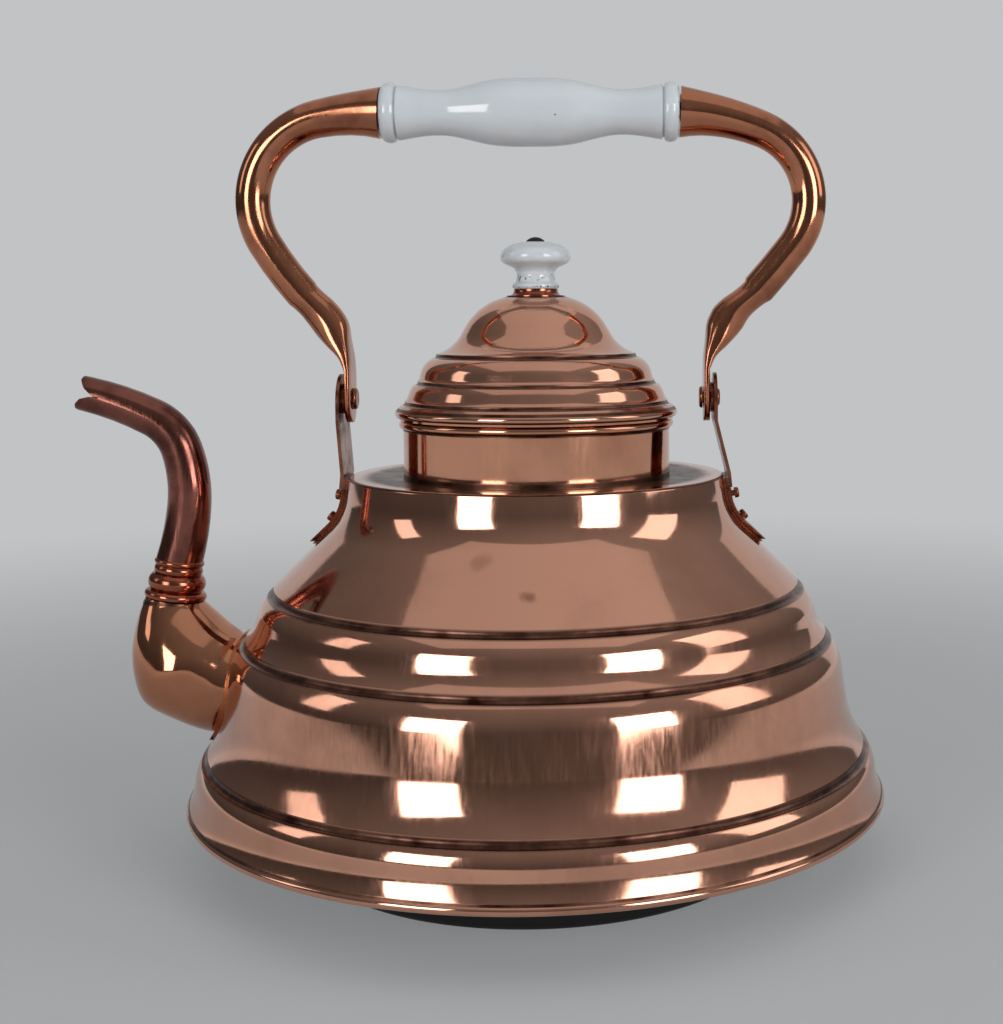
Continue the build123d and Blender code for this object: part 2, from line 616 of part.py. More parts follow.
tip_place = tube_arcs[-1] @ 1
tip_heading = tube_arcs[-1] % 1
tip_radius = SPOUT_TIP_DIAMETER / 2
tip_plane = Plane(
    origin=(tip_place.X, 0, tip_place.Y),
    x_dir=(tip_heading.X, 0, tip_heading.Y),
    z_dir=(0, 1, 0),
)
tube_pipe = hollow(swan_neck(0.0), swan_neck(COPPER_SHEET))
with BuildPart() as spout_tube:
    add(tube_pipe)
    with BuildSketch(tip_plane):
        with BuildLine():
            Polyline(
                (-SPOUT_TIP_NOTCH_DEPTH, 0),
                (0, -tip_radius),
                (tip_radius, -2 * tip_radius),
                (tip_radius, 2 * tip_radius),
                (-SPOUT_TIP_LIP_SETBACK, tip_radius),
                close=True,
            )
        make_face()
    extrude(amount=SPOUT_TIP_DIAMETER, both=True, mode=Mode.SUBTRACT)
finish("spout_tube", spout_tube)


def foot_outline(margin):
    """Returns the ear foot's trowel outline, widened by a margin and drawn in Y and Z."""
    foot_high = SHOULDER_HEIGHT - EAR_BELOW_SHOULDER
    foot_low = SHOULDER_HEIGHT - EAR_FOOT_LENGTH
    with BuildSketch(Plane.YZ) as outline:
        with Locations((0, foot_low + EAR_FOOT_TIP_RADIUS)):
            Circle(EAR_FOOT_TIP_RADIUS + margin)
        with Locations((0, foot_high - EAR_LAP / 2)):
            Rectangle(EAR_WIDTH + 2 * margin, EAR_LAP)
        make_hull()
    return outline.sketch_local


def ear_form(lug_x):
    """Returns the strap of one ear on the right: a pierced pad, a leaning strap and a foot."""
    inside = lug_x + LUG_THICKNESS / 2 + PIVOT_END_PLAY + PIVOT_WASHER_THICKNESS + SOLDER_GAP
    lap = between(SHOULDER_EDGE, FLANK_HIGH, (EAR_BELOW_SHOULDER + EAR_LAP) / SHOULDER_WALL_STEP[1])
    lap_x = lap[0] + EAR_LAYER_LOW
    bend_x = SHOULDER_EDGE[0] + EAR_LAYER_LOW
    bend_z = SHOULDER_HEIGHT + EAR_BEND_ABOVE_SHOULDER
    pad_low = PIVOT_HEIGHT - EAR_PAD_BELOW_PIVOT
    pad_high = PIVOT_HEIGHT + EAR_ABOVE_PIVOT
    foot = turned(flank_section(EAR_LAYER_LOW + EAR_THICKNESS), flank_section(EAR_LAYER_LOW))
    with BuildPart() as strap:
        with BuildSketch(Plane.XZ):
            with BuildLine():
                Polyline(
                    (lap_x, lap[1]),
                    (bend_x, bend_z),
                    (inside, pad_low),
                    (inside, pad_high),
                    (inside + EAR_THICKNESS, pad_high),
                    (inside + EAR_THICKNESS, pad_low),
                    (bend_x + EAR_THICKNESS, bend_z),
                    (lap_x + EAR_THICKNESS, lap[1]),
                    close=True,
                )
            make_face()
        extrude(amount=EAR_WIDTH / 2, both=True)
        with BuildSketch(Plane.YZ):
            with Locations((0, pad_high - EAR_WIDTH / 2)):
                Circle(EAR_WIDTH / 2)
            with Locations((0, (lap[1] + pad_high - EAR_WIDTH / 2) / 2)):
                Rectangle(EAR_WIDTH, pad_high - EAR_WIDTH / 2 - lap[1])
        extrude(amount=2 * inside, mode=Mode.INTERSECT)
    with BuildPart() as ear:
        add(foot)
        with BuildSketch(Plane.YZ):
            add(foot_outline(0.0))
        extrude(amount=2 * inside, mode=Mode.INTERSECT)
        add(strap.part)
        add(ear_holes, mode=Mode.SUBTRACT)
        with BuildSketch(Plane.YZ):
            with Locations((0, PIVOT_HEIGHT)):
                Circle(PIVOT_RIVET_DIAMETER / 2 + PIVOT_RUNNING_CLEARANCE)
        extrude(amount=2 * inside, mode=Mode.SUBTRACT)
    return ear.part


# ears and the backing plates under their feet
with BuildPart() as ear_right:
    add(ear_form(LUG_X_RIGHT))
finish("ear_right", ear_right)

with BuildPart() as ear_left:
    mirror(ear_form(LUG_X_LEFT), about=Plane.YZ)
finish("ear_left", ear_left)

backing_layer = turned(flank_section(SOLDER_GAP + EAR_BACKING_THICKNESS), flank_section(SOLDER_GAP))
with BuildPart() as ear_backing_right:
    add(backing_layer)
    with BuildSketch(Plane.YZ):
        add(foot_outline(EAR_BACKING_MARGIN))
    extrude(amount=RIM_RADIUS, mode=Mode.INTERSECT)
    add(ear_holes, mode=Mode.SUBTRACT)
finish("ear_backing_right", ear_backing_right)

with BuildPart() as ear_backing_left:
    mirror(ear_backing_right.part, about=Plane.YZ)
finish("ear_backing_left", ear_backing_left)


def ear_rivet(plane, standoff):
    """Returns one ear rivet: a round head held off the ear, a shank and a tail inside the body."""
    outside = EAR_LAYER_LOW + EAR_THICKNESS + standoff
    inside = -COPPER_SHEET - SOLDER_GAP
    with BuildPart() as rivet:
        with BuildSketch(plane.offset(inside)):
            Circle(EAR_RIVET_DIAMETER / 2)
        extrude(amount=outside - inside)
        with BuildSketch(plane.offset(outside)):
            Circle(EAR_RIVET_HEAD_DIAMETER / 2)
        extrude(amount=EAR_RIVET_HEAD_HEIGHT)
        fillet(rivet.edges().sort_by(Axis(plane.origin, plane.z_dir))[-1], EAR_RIVET_HEAD_ROUNDING)
        with BuildSketch(plane.offset(inside)):
            Circle(EAR_RIVET_HEAD_DIAMETER / 2)
        extrude(amount=-EAR_RIVET_TAIL_HEIGHT)
    return rivet.part


upper_rivet = ear_rivet(ear_rivet_planes[0], EAR_RIVET_STANDOFFS[0])
lower_rivet = ear_rivet(ear_rivet_planes[1], EAR_RIVET_STANDOFFS[1])
with BuildPart() as ear_rivets_upper:
    add(upper_rivet)
    mirror(upper_rivet, about=Plane.YZ)
finish("ear_rivets_upper", ear_rivets_upper)

with BuildPart() as ear_rivets_lower:
    add(lower_rivet)
    mirror(lower_rivet, about=Plane.YZ)
finish("ear_rivets_lower", ear_rivets_lower)


def pivot_rivet(lug_x):
    """Returns the rivet that one lug turns on, on the right: head inside, tail outside the ear."""
    head_x = lug_x - LUG_THICKNESS / 2 - PIVOT_END_PLAY
    ear_outside = (
        lug_x + LUG_THICKNESS / 2 + PIVOT_END_PLAY + PIVOT_WASHER_THICKNESS + SOLDER_GAP + EAR_THICKNESS
    )
    tail_x = ear_outside + SOLDER_GAP
    with BuildPart() as rivet:
        with BuildSketch(Plane.YZ.offset(head_x)):
            with Locations((0, PIVOT_HEIGHT)):
                Circle(PIVOT_RIVET_DIAMETER / 2)
        extrude(amount=tail_x - head_x)
        with BuildSketch(Plane.YZ.offset(head_x)):
            with Locations((0, PIVOT_HEIGHT)):
                Circle(PIVOT_RIVET_HEAD_DIAMETER / 2)
        extrude(amount=-PIVOT_RIVET_HEAD_HEIGHT)
        fillet(rivet.edges().sort_by(Axis.X)[0], PIVOT_RIVET_HEAD_ROUNDING)
        with BuildSketch(Plane.YZ.offset(tail_x)):
            with Locations((0, PIVOT_HEIGHT)):
                Circle(PIVOT_RIVET_TAIL_DIAMETER / 2)
        extrude(amount=PIVOT_RIVET_HEAD_HEIGHT)
        fillet(rivet.edges().sort_by(Axis.X)[-1], PIVOT_RIVET_HEAD_ROUNDING)
    return rivet.part


def pivot_washer(lug_x):
    """Returns the washer between one lug and its ear, on the right."""
    with BuildPart() as washer:
        with BuildSketch(Plane.YZ.offset(lug_x + LUG_THICKNESS / 2 + PIVOT_END_PLAY)):
            with Locations((0, PIVOT_HEIGHT)):
                Circle(PIVOT_WASHER_DIAMETER / 2)
                Circle(PIVOT_RIVET_DIAMETER / 2 + PIVOT_RUNNING_CLEARANCE, mode=Mode.SUBTRACT)
        extrude(amount=PIVOT_WASHER_THICKNESS)
    return washer.part


# pivot rivets and washers, which stay with the ears
with BuildPart() as pivot_rivets:
    add(pivot_rivet(LUG_X_RIGHT))
    mirror(pivot_rivet(LUG_X_LEFT), about=Plane.YZ)
finish("pivot_rivets", pivot_rivets)

with BuildPart() as pivot_washers:
    add(pivot_washer(LUG_X_RIGHT))
    mirror(pivot_washer(LUG_X_LEFT), about=Plane.YZ)
finish("pivot_washers", pivot_washers)


def arm_pipe(planes, shrink):
    """Returns an arm's round form, flared towards the grip and shrunk by an even amount."""
    with BuildPart() as pipe:
        for plane, run in planes:
            flare = (ARM_END_DIAMETER - ARM_DIAMETER) * exp(-run / ARM_FLARE_LENGTH)
            with BuildSketch(plane):
                Circle((ARM_DIAMETER + flare) / 2 - shrink)
        loft()
    return pipe.part


def arm_form(shift, heading, bends, lug_x):
    """Returns the bail arm on the right: a flared tube flattened to a pierced lug."""
    arcs = bend_chain((ARM_START + shift, GRIP_HEIGHT), heading, bends)
    planes = chain_planes(arcs, ARM_RING_SPACING)
    pipe = hollow(arm_pipe(planes, 0.0), arm_pipe(planes, ARM_WALL))
    with BuildPart() as arm:
        with BuildSketch(planes[-1][0]):
            Circle(ARM_DIAMETER / 2)
        for height, outwards, thickness, width in ARM_FLAT_RINGS:
            ring = Plane(
                origin=(lug_x + outwards, 0, PIVOT_HEIGHT + height),
                x_dir=(0, 1, 0),
                z_dir=(0, 0, -1),
            )
            with BuildSketch(ring):
                Ellipse(width / 2, thickness / 2)
        loft()
        add(pipe)
        with BuildSketch(Plane.YZ.offset(lug_x - LUG_THICKNESS / 2)):
            with Locations((0, PIVOT_HEIGHT)):
                Circle(LUG_RADIUS)
            with Locations((0, PIVOT_HEIGHT + LUG_ABOVE_PIVOT / 2)):
                Rectangle(2 * LUG_RADIUS, LUG_ABOVE_PIVOT)
        extrude(amount=LUG_THICKNESS)
        with BuildSketch(Plane.YZ):
            with Locations((0, PIVOT_HEIGHT)):
                Circle(PIVOT_RIVET_DIAMETER / 2 + PIVOT_RUNNING_CLEARANCE)
        extrude(amount=2 * lug_x, mode=Mode.SUBTRACT)
    return arm.part


# bail arms and the plugs in their ends that hold the rod
with BuildPart() as bail_arm_right:
    add(arm_form(BAIL_OFFSET, ARM_HEADING_RIGHT, ARM_BENDS_RIGHT, LUG_X_RIGHT))
finish("bail_arm_right", bail_arm_right)

with BuildPart() as bail_arm_left:
    mirror(arm_form(-BAIL_OFFSET, ARM_HEADING_LEFT, ARM_BENDS_LEFT, LUG_X_LEFT), about=Plane.YZ)
finish("bail_arm_left", bail_arm_left)

with BuildPart() as arm_plug_right:
    with BuildSketch(Plane.YZ.offset(BAIL_OFFSET + ARM_START)):
        with Locations((0, GRIP_HEIGHT)):
            Circle(ARM_PLUG_DIAMETER / 2)
            Circle(GRIP_ROD_DIAMETER / 2 + PIVOT_RUNNING_CLEARANCE, mode=Mode.SUBTRACT)
    extrude(amount=ARM_PLUG_LENGTH)
finish("arm_plug_right", arm_plug_right)

with BuildPart() as arm_plug_left:
    mirror(arm_plug_right.part, about=Plane.YZ.offset(BAIL_OFFSET))
finish("arm_plug_left", arm_plug_left)

# porcelain grip: swelling in the middle, waisted, with a collar at each end
bail_middle = Plane(origin=(BAIL_OFFSET, 0, GRIP_HEIGHT), x_dir=(1, 0, 0), z_dir=(0, -1, 0))
bail_axis = Axis((BAIL_OFFSET, 0, GRIP_HEIGHT), (1, 0, 0))
swell = (0, GRIP_DIAMETER / 2)
waist = (GRIP_WAIST_PLACE, GRIP_WAIST_DIAMETER / 2)
slope = between(swell, waist, 0.5)
flare = (GRIP_FLARE_PLACE, GRIP_FLARE_DIAMETER / 2)
collar_low = (GRIP_COLLAR_PLACE, flare[1])
collar_high = ((GRIP_COLLAR_PLACE + GRIP_LENGTH / 2) / 2, GRIP_COLLAR_DIAMETER / 2)
grip_end = (GRIP_LENGTH / 2, GRIP_END_DIAMETER / 2)
with BuildPart() as grip:
    with BuildSketch(bail_middle):
        with BuildLine():
            TangentArc(swell, slope, tangent=(1, 0))
            TangentArc(waist, slope, tangent=(-1, 0))
            TangentArc(waist, flare, tangent=(1, 0))
            Line(flare, collar_low)
            ThreePointArc(collar_low, collar_high, grip_end)
            Polyline(grip_end, (grip_end[0], 0), (0, 0), swell)
        make_face()
        mirror(about=Plane.YZ)
    revolve(axis=bail_axis)
    with BuildSketch(Plane.YZ.offset(BAIL_OFFSET)):
        with Locations((0, GRIP_HEIGHT)):
            Circle(GRIP_ROD_DIAMETER / 2 + GRIP_BORE_CLEARANCE)
    extrude(amount=GRIP_LENGTH, both=True, mode=Mode.SUBTRACT)
finish("grip", grip)

# grip rod: an iron rod screwed into both plugs
with BuildPart() as grip_rod:
    with BuildSketch(Plane.YZ.offset(BAIL_OFFSET)):
        with Locations((0, GRIP_HEIGHT)):
            Circle(GRIP_ROD_DIAMETER / 2)
    extrude(amount=ARM_START + ARM_PLUG_LENGTH, both=True)
finish("grip_rod", grip_rod)

# lid cover: a stepped dome with its edge rolled round a wire
with BuildPart() as lid_cover:
    with BuildSketch(Plane.XZ):
        add(lid_section(0.0))
        add(lid_section(-COPPER_SHEET), mode=Mode.SUBTRACT)
        with Locations((0, LID_EDGE[1])):
            Rectangle(2 * (LID_EDGE[0] - COPPER_SHEET), 3 * COPPER_SHEET, mode=Mode.SUBTRACT)
        with Locations((0, LID_TOP_HEIGHT)):
            Rectangle(SCREW_DIAMETER + 2 * SCREW_CLEARANCE, 4 * COPPER_SHEET, mode=Mode.SUBTRACT)
        wired_bead(LID_BEAD_CENTRE, LID_BEAD_RADIUS, LID_WIRE_DIAMETER)
    revolve(axis=Axis.Z)
finish("lid_cover", lid_cover)

with BuildPart() as lid_wire:
    with BuildSketch(Plane.XZ):
        with Locations(LID_BEAD_CENTRE):
            Circle(LID_WIRE_DIAMETER / 2)
    revolve(axis=Axis.Z)
finish("lid_wire", lid_wire)

# lid plug: the ring under the cover that drops into the neck
plug_radius = NECK_MOUTH_RADIUS - LID_PLUG_CLEARANCE
plug_lip_radius = LID_RADIUS - LID_PLUG_INSET
with BuildPart() as lid_plug:
    with BuildSketch(Plane.XZ):
        with BuildLine():
            Polyline(
                (plug_radius, LID_PLUG_HIGH - LID_PLUG_DEPTH),
                (plug_radius, LID_PLUG_LOW),
                (plug_lip_radius, LID_PLUG_LOW),
                (plug_lip_radius, LID_PLUG_HIGH - SOLDER_GAP),
                (plug_radius - COPPER_SHEET, LID_PLUG_HIGH - SOLDER_GAP),
                (plug_radius - COPPER_SHEET, LID_PLUG_HIGH - LID_PLUG_DEPTH),
                close=True,
            )
        make_face()
    revolve(axis=Axis.Z)
finish("lid_plug", lid_plug)

# knob seat: a flared copper ring under the knob
screw_hole_radius = SCREW_DIAMETER / 2 + SCREW_CLEARANCE
with BuildPart() as knob_seat:
    with BuildSketch(Plane.XZ):
        with BuildLine():
            seat_foot = (KNOB_SEAT_FOOT_RADIUS, KNOB_SEAT_LOW)
            seat_top = (KNOB_SEAT_TOP_RADIUS, KNOB_SEAT_LOW + KNOB_SEAT_HEIGHT)
            TangentArc(seat_top, seat_foot, tangent=(0, -1))
            Polyline(
                seat_foot,
                (screw_hole_radius, KNOB_SEAT_LOW),
                (screw_hole_radius, seat_top[1]),
                seat_top,
            )
        make_face()
    revolve(axis=Axis.Z)
finish("knob_seat", knob_seat)

# porcelain knob: a waisted stem under a flattened ball
knob_stem = KNOB_WIDEST_HEIGHT - KNOB_NECK_HEIGHT
with BuildPart() as knob:
    with BuildSketch(Plane.XZ):
        with BuildLine():
            base = (KNOB_BASE_RADIUS, KNOB_LOW + KNOB_BASE_HEIGHT)
            neck = (KNOB_NECK_RADIUS, KNOB_LOW + KNOB_NECK_HEIGHT)
            widest = (KNOB_RADIUS, KNOB_LOW + KNOB_WIDEST_HEIGHT)
            under = between(neck, widest, KNOB_UNDERSIDE_SHARE)
            top = (KNOB_TOP_RADIUS, KNOB_HIGH)
            TangentArc(neck, base, tangent=(0, -1))
            Spline(neck, under, widest, tangents=((0, 1), (0, 1)))
            TangentArc(widest, top, tangent=(0, 1))
            Polyline(
                top,
                (screw_hole_radius, KNOB_HIGH),
                (screw_hole_radius, KNOB_LOW),
                (KNOB_BASE_RADIUS, KNOB_LOW),
                base,
            )
        make_face()
    revolve(axis=Axis.Z)
finish("knob", knob)

# knob screw with its slotted round head, and the washer and nut that hold it under the crown
washer_high = LID_TOP_HEIGHT - COPPER_SHEET - SOLDER_GAP
nut_high = washer_high - KNOB_WASHER_THICKNESS - SOLDER_GAP
screw_low = nut_high - KNOB_NUT_THICKNESS - SCREW_BELOW_NUT
screw_head_low = KNOB_HIGH + SOLDER_GAP
with BuildPart() as knob_screw:
    with BuildSketch(Plane.XY.offset(screw_low)):
        Circle(SCREW_DIAMETER / 2)
    extrude(amount=screw_head_low - screw_low)
    with BuildSketch(Plane.XY.offset(screw_head_low)):
        Circle(SCREW_HEAD_DIAMETER / 2)
    extrude(amount=SCREW_HEAD_HEIGHT)
    fillet(knob_screw.edges().sort_by(Axis.Z)[-1], SCREW_HEAD_ROUNDING)
finish("knob_screw", knob_screw)

with BuildPart() as knob_washer:
    with BuildSketch(Plane.XY.offset(washer_high)):
        Circle(KNOB_WASHER_DIAMETER / 2)
        Circle(screw_hole_radius, mode=Mode.SUBTRACT)
    extrude(amount=-KNOB_WASHER_THICKNESS)
finish("knob_washer", knob_washer)

with BuildPart() as knob_nut:
    with BuildSketch(Plane.XY.offset(nut_high)):
        RegularPolygon(KNOB_NUT_WIDTH / 2, 6, major_radius=False)
        Circle(SCREW_DIAMETER / 2 + PIVOT_RUNNING_CLEARANCE, mode=Mode.SUBTRACT)
    extrude(amount=-KNOB_NUT_THICKNESS)
finish("knob_nut", knob_nut)

for piece_name, solids in finished.items():
    print(piece_name, len(solids), "solid", round(sum(solid.volume for solid in solids), 1), "mm3")
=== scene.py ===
import logging
import math
from dataclasses import dataclass
from enum import Enum
from typing import Iterable, Optional, Sequence, Union

import bmesh
import bpy
from mathutils import Matrix, Vector


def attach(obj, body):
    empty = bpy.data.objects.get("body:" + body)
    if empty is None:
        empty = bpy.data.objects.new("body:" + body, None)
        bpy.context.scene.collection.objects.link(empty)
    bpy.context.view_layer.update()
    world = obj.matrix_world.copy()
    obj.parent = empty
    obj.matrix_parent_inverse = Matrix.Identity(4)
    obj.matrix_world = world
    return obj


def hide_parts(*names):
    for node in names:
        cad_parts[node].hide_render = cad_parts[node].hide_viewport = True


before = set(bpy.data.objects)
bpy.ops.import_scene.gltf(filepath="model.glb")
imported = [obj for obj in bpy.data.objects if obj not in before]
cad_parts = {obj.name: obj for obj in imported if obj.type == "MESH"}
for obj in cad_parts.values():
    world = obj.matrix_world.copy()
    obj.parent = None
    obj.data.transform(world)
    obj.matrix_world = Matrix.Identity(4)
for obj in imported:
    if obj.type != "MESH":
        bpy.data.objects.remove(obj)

# Outlines and sizes are written in millimetres, and every mesh is made in metres.
MM = 0.001
# Corners nearer to each other than this, in metres, are made one.
MERGE_REACH = 1e-6
# An edge that turns more than this is drawn sharp.
SHARP_DEGREES = 38.0
# A groove's arc leaves its run at this angle, in radians, before it is flattened to its depth.
GROOVE_ANGLE = 1.0
GROOVE_PARTS = 8
Point = tuple[float, float]
Triple = tuple[float, float, float]
Mesh = bmesh.types.BMesh
Material = bpy.types.Material
Socket = bpy.types.NodeSocket
Tree = bpy.types.NodeTree

# Settings that several nodes share.
SMOOTH = {"interpolation_type": "SMOOTHSTEP"}
RGBA = {"data_type": "RGBA"}

logging.basicConfig(level=logging.INFO, format="%(message)s")
log = logging.getLogger("kettle")


class Body(Enum):
    """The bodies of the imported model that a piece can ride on."""

    KETTLE = "kettle"
    BAIL = "bail"
    LID = "lid"


class Side(Enum):
    """The two sides of the bail, with the sign of X on each."""

    LEFT = -1
    RIGHT = 1

    @property
    def word(self) -> str:
        """The side's name as the CAD nodes have it."""
        return self.name.lower()


def linear(colour: str) -> tuple[float, float, float, float]:
    """Turns an sRGB hex colour to linear.

    Args:
        colour: Six hex digits after a hash.

    Returns:
        Red, green, blue and alpha for a colour socket.
    """
    parts = [int(colour[start : start + 2], 16) / 255 for start in (1, 3, 5)]
    shares = [part / 12.92 if part <= 0.04045 else ((part + 0.055) / 1.055) ** 2.4 for part in parts]
    return (shares[0], shares[1], shares[2], 1.0)


def wire(tree: Tree, node: bpy.types.Node, inputs: dict) -> None:
    """Gives inputs of a node, by name or number, their values or a link from an output socket."""
    for place, value in inputs.items():
        if isinstance(value, Socket):
            tree.links.new(value, node.inputs[place])
        else:
            node.inputs[place].default_value = value


def add_node(tree: Tree, kind: str, inputs: dict, out: Union[int, str] = 0, **settings) -> Socket:
    """Adds a node to a tree with its settings, values and links.

    Args:
        tree: The node tree.
        kind: The node's type, without its ShaderNode prefix.
        inputs: A value or an output socket for each input, by name or number.
        out: The output that is wanted, by name or number.
        settings: Attributes of the node.

    Returns:
        The socket of that output.
    """
    node = tree.nodes.new("ShaderNode" + kind)
    for name, value in settings.items():
        setattr(node, name, value)
    wire(tree, node, inputs)
    return node.outputs[out]


def scale_for(size: float) -> float:
    """Gives a texture's scale for a pattern whose size is in mm."""
    return 1 / (size * MM)


class Outline:
    """An outline that is drawn in mm as (distance from the axis, place along it) points."""

    def __init__(self, start: Point) -> None:
        """Starts the outline at a point."""
        self.points = [Vector(start)]

    def line(self, *points: Point) -> "Outline":
        """Adds straight runs through points."""
        self.points += [Vector(point) for point in points]
        return self

    def arc(self, end: Point, leaving: Point, parts: int = 10) -> "Outline":
        """Adds an arc that leaves the last point in a given direction."""
        self.points += bent(self.points[-1], Vector(end), Vector(leaving), parts)
        return self

    def arc_into(self, end: Point, arriving: Point, parts: int = 10) -> "Outline":
        """Adds an arc that reaches its end in a given direction."""
        back = bent(Vector(end), self.points[-1], -Vector(arriving), parts)
        self.points += [*reversed(back[:-1]), Vector(end)]
        return self

    def ring(self, centre: Point, radius: float, start: float, end: float, parts: int = 20) -> "Outline":
        """Adds part of a circle, from one angle to another in degrees."""
        for part in range(parts + 1):
            angle = math.radians(start + (end - start) * part / parts)
            self.points.append(Vector(centre) + radius * Vector((math.cos(angle), math.sin(angle))))
        return self

    def groove(self, end: Point, depth: float) -> "Outline":
        """Adds a rounded groove to a point, sunk to the left of the run."""
        start = self.points[-1]
        chord = Vector(end) - start
        left = Vector((-chord.y, chord.x)).normalized()
        leaving = chord.normalized() * math.cos(GROOVE_ANGLE) + left * math.sin(GROOVE_ANGLE)
        sink = chord.length / 2 * math.tan(GROOVE_ANGLE / 2)
        self.arc(end, leaving, GROOVE_PARTS)
        for point in self.points[-GROOVE_PARTS:]:
            rise = (point - start).dot(left)
            point -= left * rise * (1 - depth / sink)
        return self

    def tiers(self, tiers: Sequence[Sequence[Point]], depth: float) -> "Outline":
        """Adds tiers: each a wall's two ends and the two ends of the groove above it."""
        for wall_low, wall_high, groove_low, groove_high in tiers:
            run = Vector(wall_high) - Vector(wall_low)
            self.arc_into(wall_low, run).line(wall_high).arc(groove_low, run).groove(groove_high, depth)
        return self

    def rounded(self, corner: Point, beyond: Point, radius: float, parts: int = 10) -> "Outline":
        """Adds a run to a corner that is rounded off towards a point beyond it."""
        into = (Vector(corner) - self.points[-1]).normalized()
        out = (Vector(beyond) - Vector(corner)).normalized()
        reach = radius * math.tan(into.angle(out) / 2)
        self.points.append(Vector(corner) - into * reach)
        self.points += bent(self.points[-1], Vector(corner) + out * reach, into, parts)
        return self

    def curve(self, *points: Point, parts: int = 8) -> "Outline":
        """Adds a smooth curve through points."""
        through = [self.points[-1], *(Vector(point) for point in points)]
        self.points += smooth_line(through, parts)[1:]
        return self


def bent(start: Vector, end: Vector, leaving: Vector, parts: int) -> list[Vector]:
    """Gives the points after the start of an arc between two points.

    Args:
        start: Where the arc starts.
        end: Where it ends.
        leaving: Its direction at the start.
        parts: How many runs it has.

    Returns:
        The points, the end included.
    """
    along = leaving.normalized()
    left = Vector((-along.y, along.x))
    chord = end - start
    side = chord.dot(left)
    if abs(side) < 1e-4 * chord.length:
        return [end.copy()]
    radius = chord.length_squared / (2 * side)
    turn = 2 * math.atan2(side, chord.dot(along))
    points = []
    for part in range(1, parts + 1):
        angle = turn * part / parts
        points.append(start + radius * (math.sin(angle) * along + (1 - math.cos(angle)) * left))
    return points


def smooth_line(points: Sequence[Vector], parts: int) -> list[Vector]:
    """Gives a smooth line through points.

    Args:
        points: The points that it passes.
        parts: How many runs there are between two of them.

    Returns:
        The line's points.
    """
    ends = [points[0] * 2 - points[1], *points, points[-1] * 2 - points[-2]]
    line = [points[0].copy()]
    for a, b, c, d in zip(ends, ends[1:], ends[2:], ends[3:]):
        slope, bend, twist = c - a, 2 * a - 5 * b + 4 * c - d, 3 * b - a - 3 * c + d
        for part in range(1, parts + 1):
            t = part / parts
            line.append(0.5 * (2 * b + slope * t + bend * t**2 + twist * t**3))
    return line


@dataclass
class Ring:
    """One ring of a tube: where it is, which way the tube runs there, and its two widths in mm."""

    place: Vector
    heading: Vector
    across: float
    deep: float
    squareness: float = 2.0


def new_object(skin: Mesh, name: str, material: Material) -> bpy.types.Object:
    """Puts a mesh in hand into the scene as an object with one material, and frees it."""
    mesh = bpy.data.meshes.new(name)
    skin.to_mesh(mesh)
    skin.free()
    mesh.materials.append(material)
    piece = bpy.data.objects.new(name, mesh)
    bpy.context.scene.collection.objects.link(piece)
    return piece


def finished_piece(
    skin: Mesh,
    name: str,
    body: Body,
    finish: "Finish",
    replaces: Iterable[str],
    wall: float = 0.0,
) -> bpy.types.Object:
    """Closes a mesh, gives it its wall and hands it to its body.

    Args:
        skin: The mesh in hand, in metres, which is freed.
        name: The piece's name.
        body: The body that it rides on.
        finish: What it is made of.
        replaces: The CAD nodes that it stands for.
        wall: The sheet's thickness in mm, inwards, for an open skin.

    Returns:
        The piece's object.
    """
    bmesh.ops.remove_doubles(skin, verts=skin.verts, dist=MERGE_REACH)
    bmesh.ops.recalc_face_normals(skin, faces=skin.faces)
    if wall:
        bmesh.ops.solidify(skin, geom=skin.faces[:], thickness=wall * MM)
    for face in skin.faces:
        face.smooth = True
    for edge in skin.edges:
        edge.smooth = edge.calc_face_angle(0.0) < math.radians(SHARP_DEGREES)
    piece = new_object(skin, name, finish.material())
    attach(piece, body.value)
    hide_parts(*replaces)
    log.info("%s: %d faces on %s", name, len(piece.data.polygons), body.value)
    return piece


def spun(
    outline: Outline,
    steps: int = 256,
    closed: bool = False,
    lie: Optional[Matrix] = None,
    degrees: float = 360.0,
) -> Mesh:
    """Spins an outline round the Z axis.

    Args:
        outline: The half section, in mm.
        steps: The number of faces round it.
        closed: Whether the outline closes on itself.
        lie: A turn and a move for the spun piece, in metres.
        degrees: How far it is spun, from the X axis.

    Returns:
        The spun mesh, in metres.
    """
    skin = bmesh.new()
    corners = [skin.verts.new((point.x * MM, 0, point.y * MM)) for point in outline.points]
    runs = [skin.edges.new(pair) for pair in zip(corners, corners[1:])]
    if closed:
        runs.append(skin.edges.new((corners[-1], corners[0])))
    spin = {"cent": (0, 0, 0), "axis": (0, 0, 1), "angle": math.radians(degrees), "steps": steps}
    bmesh.ops.spin(skin, geom=corners + runs, use_merge=degrees == 360.0, **spin)
    if lie:
        bmesh.ops.transform(skin, matrix=lie, verts=skin.verts)
    return skin


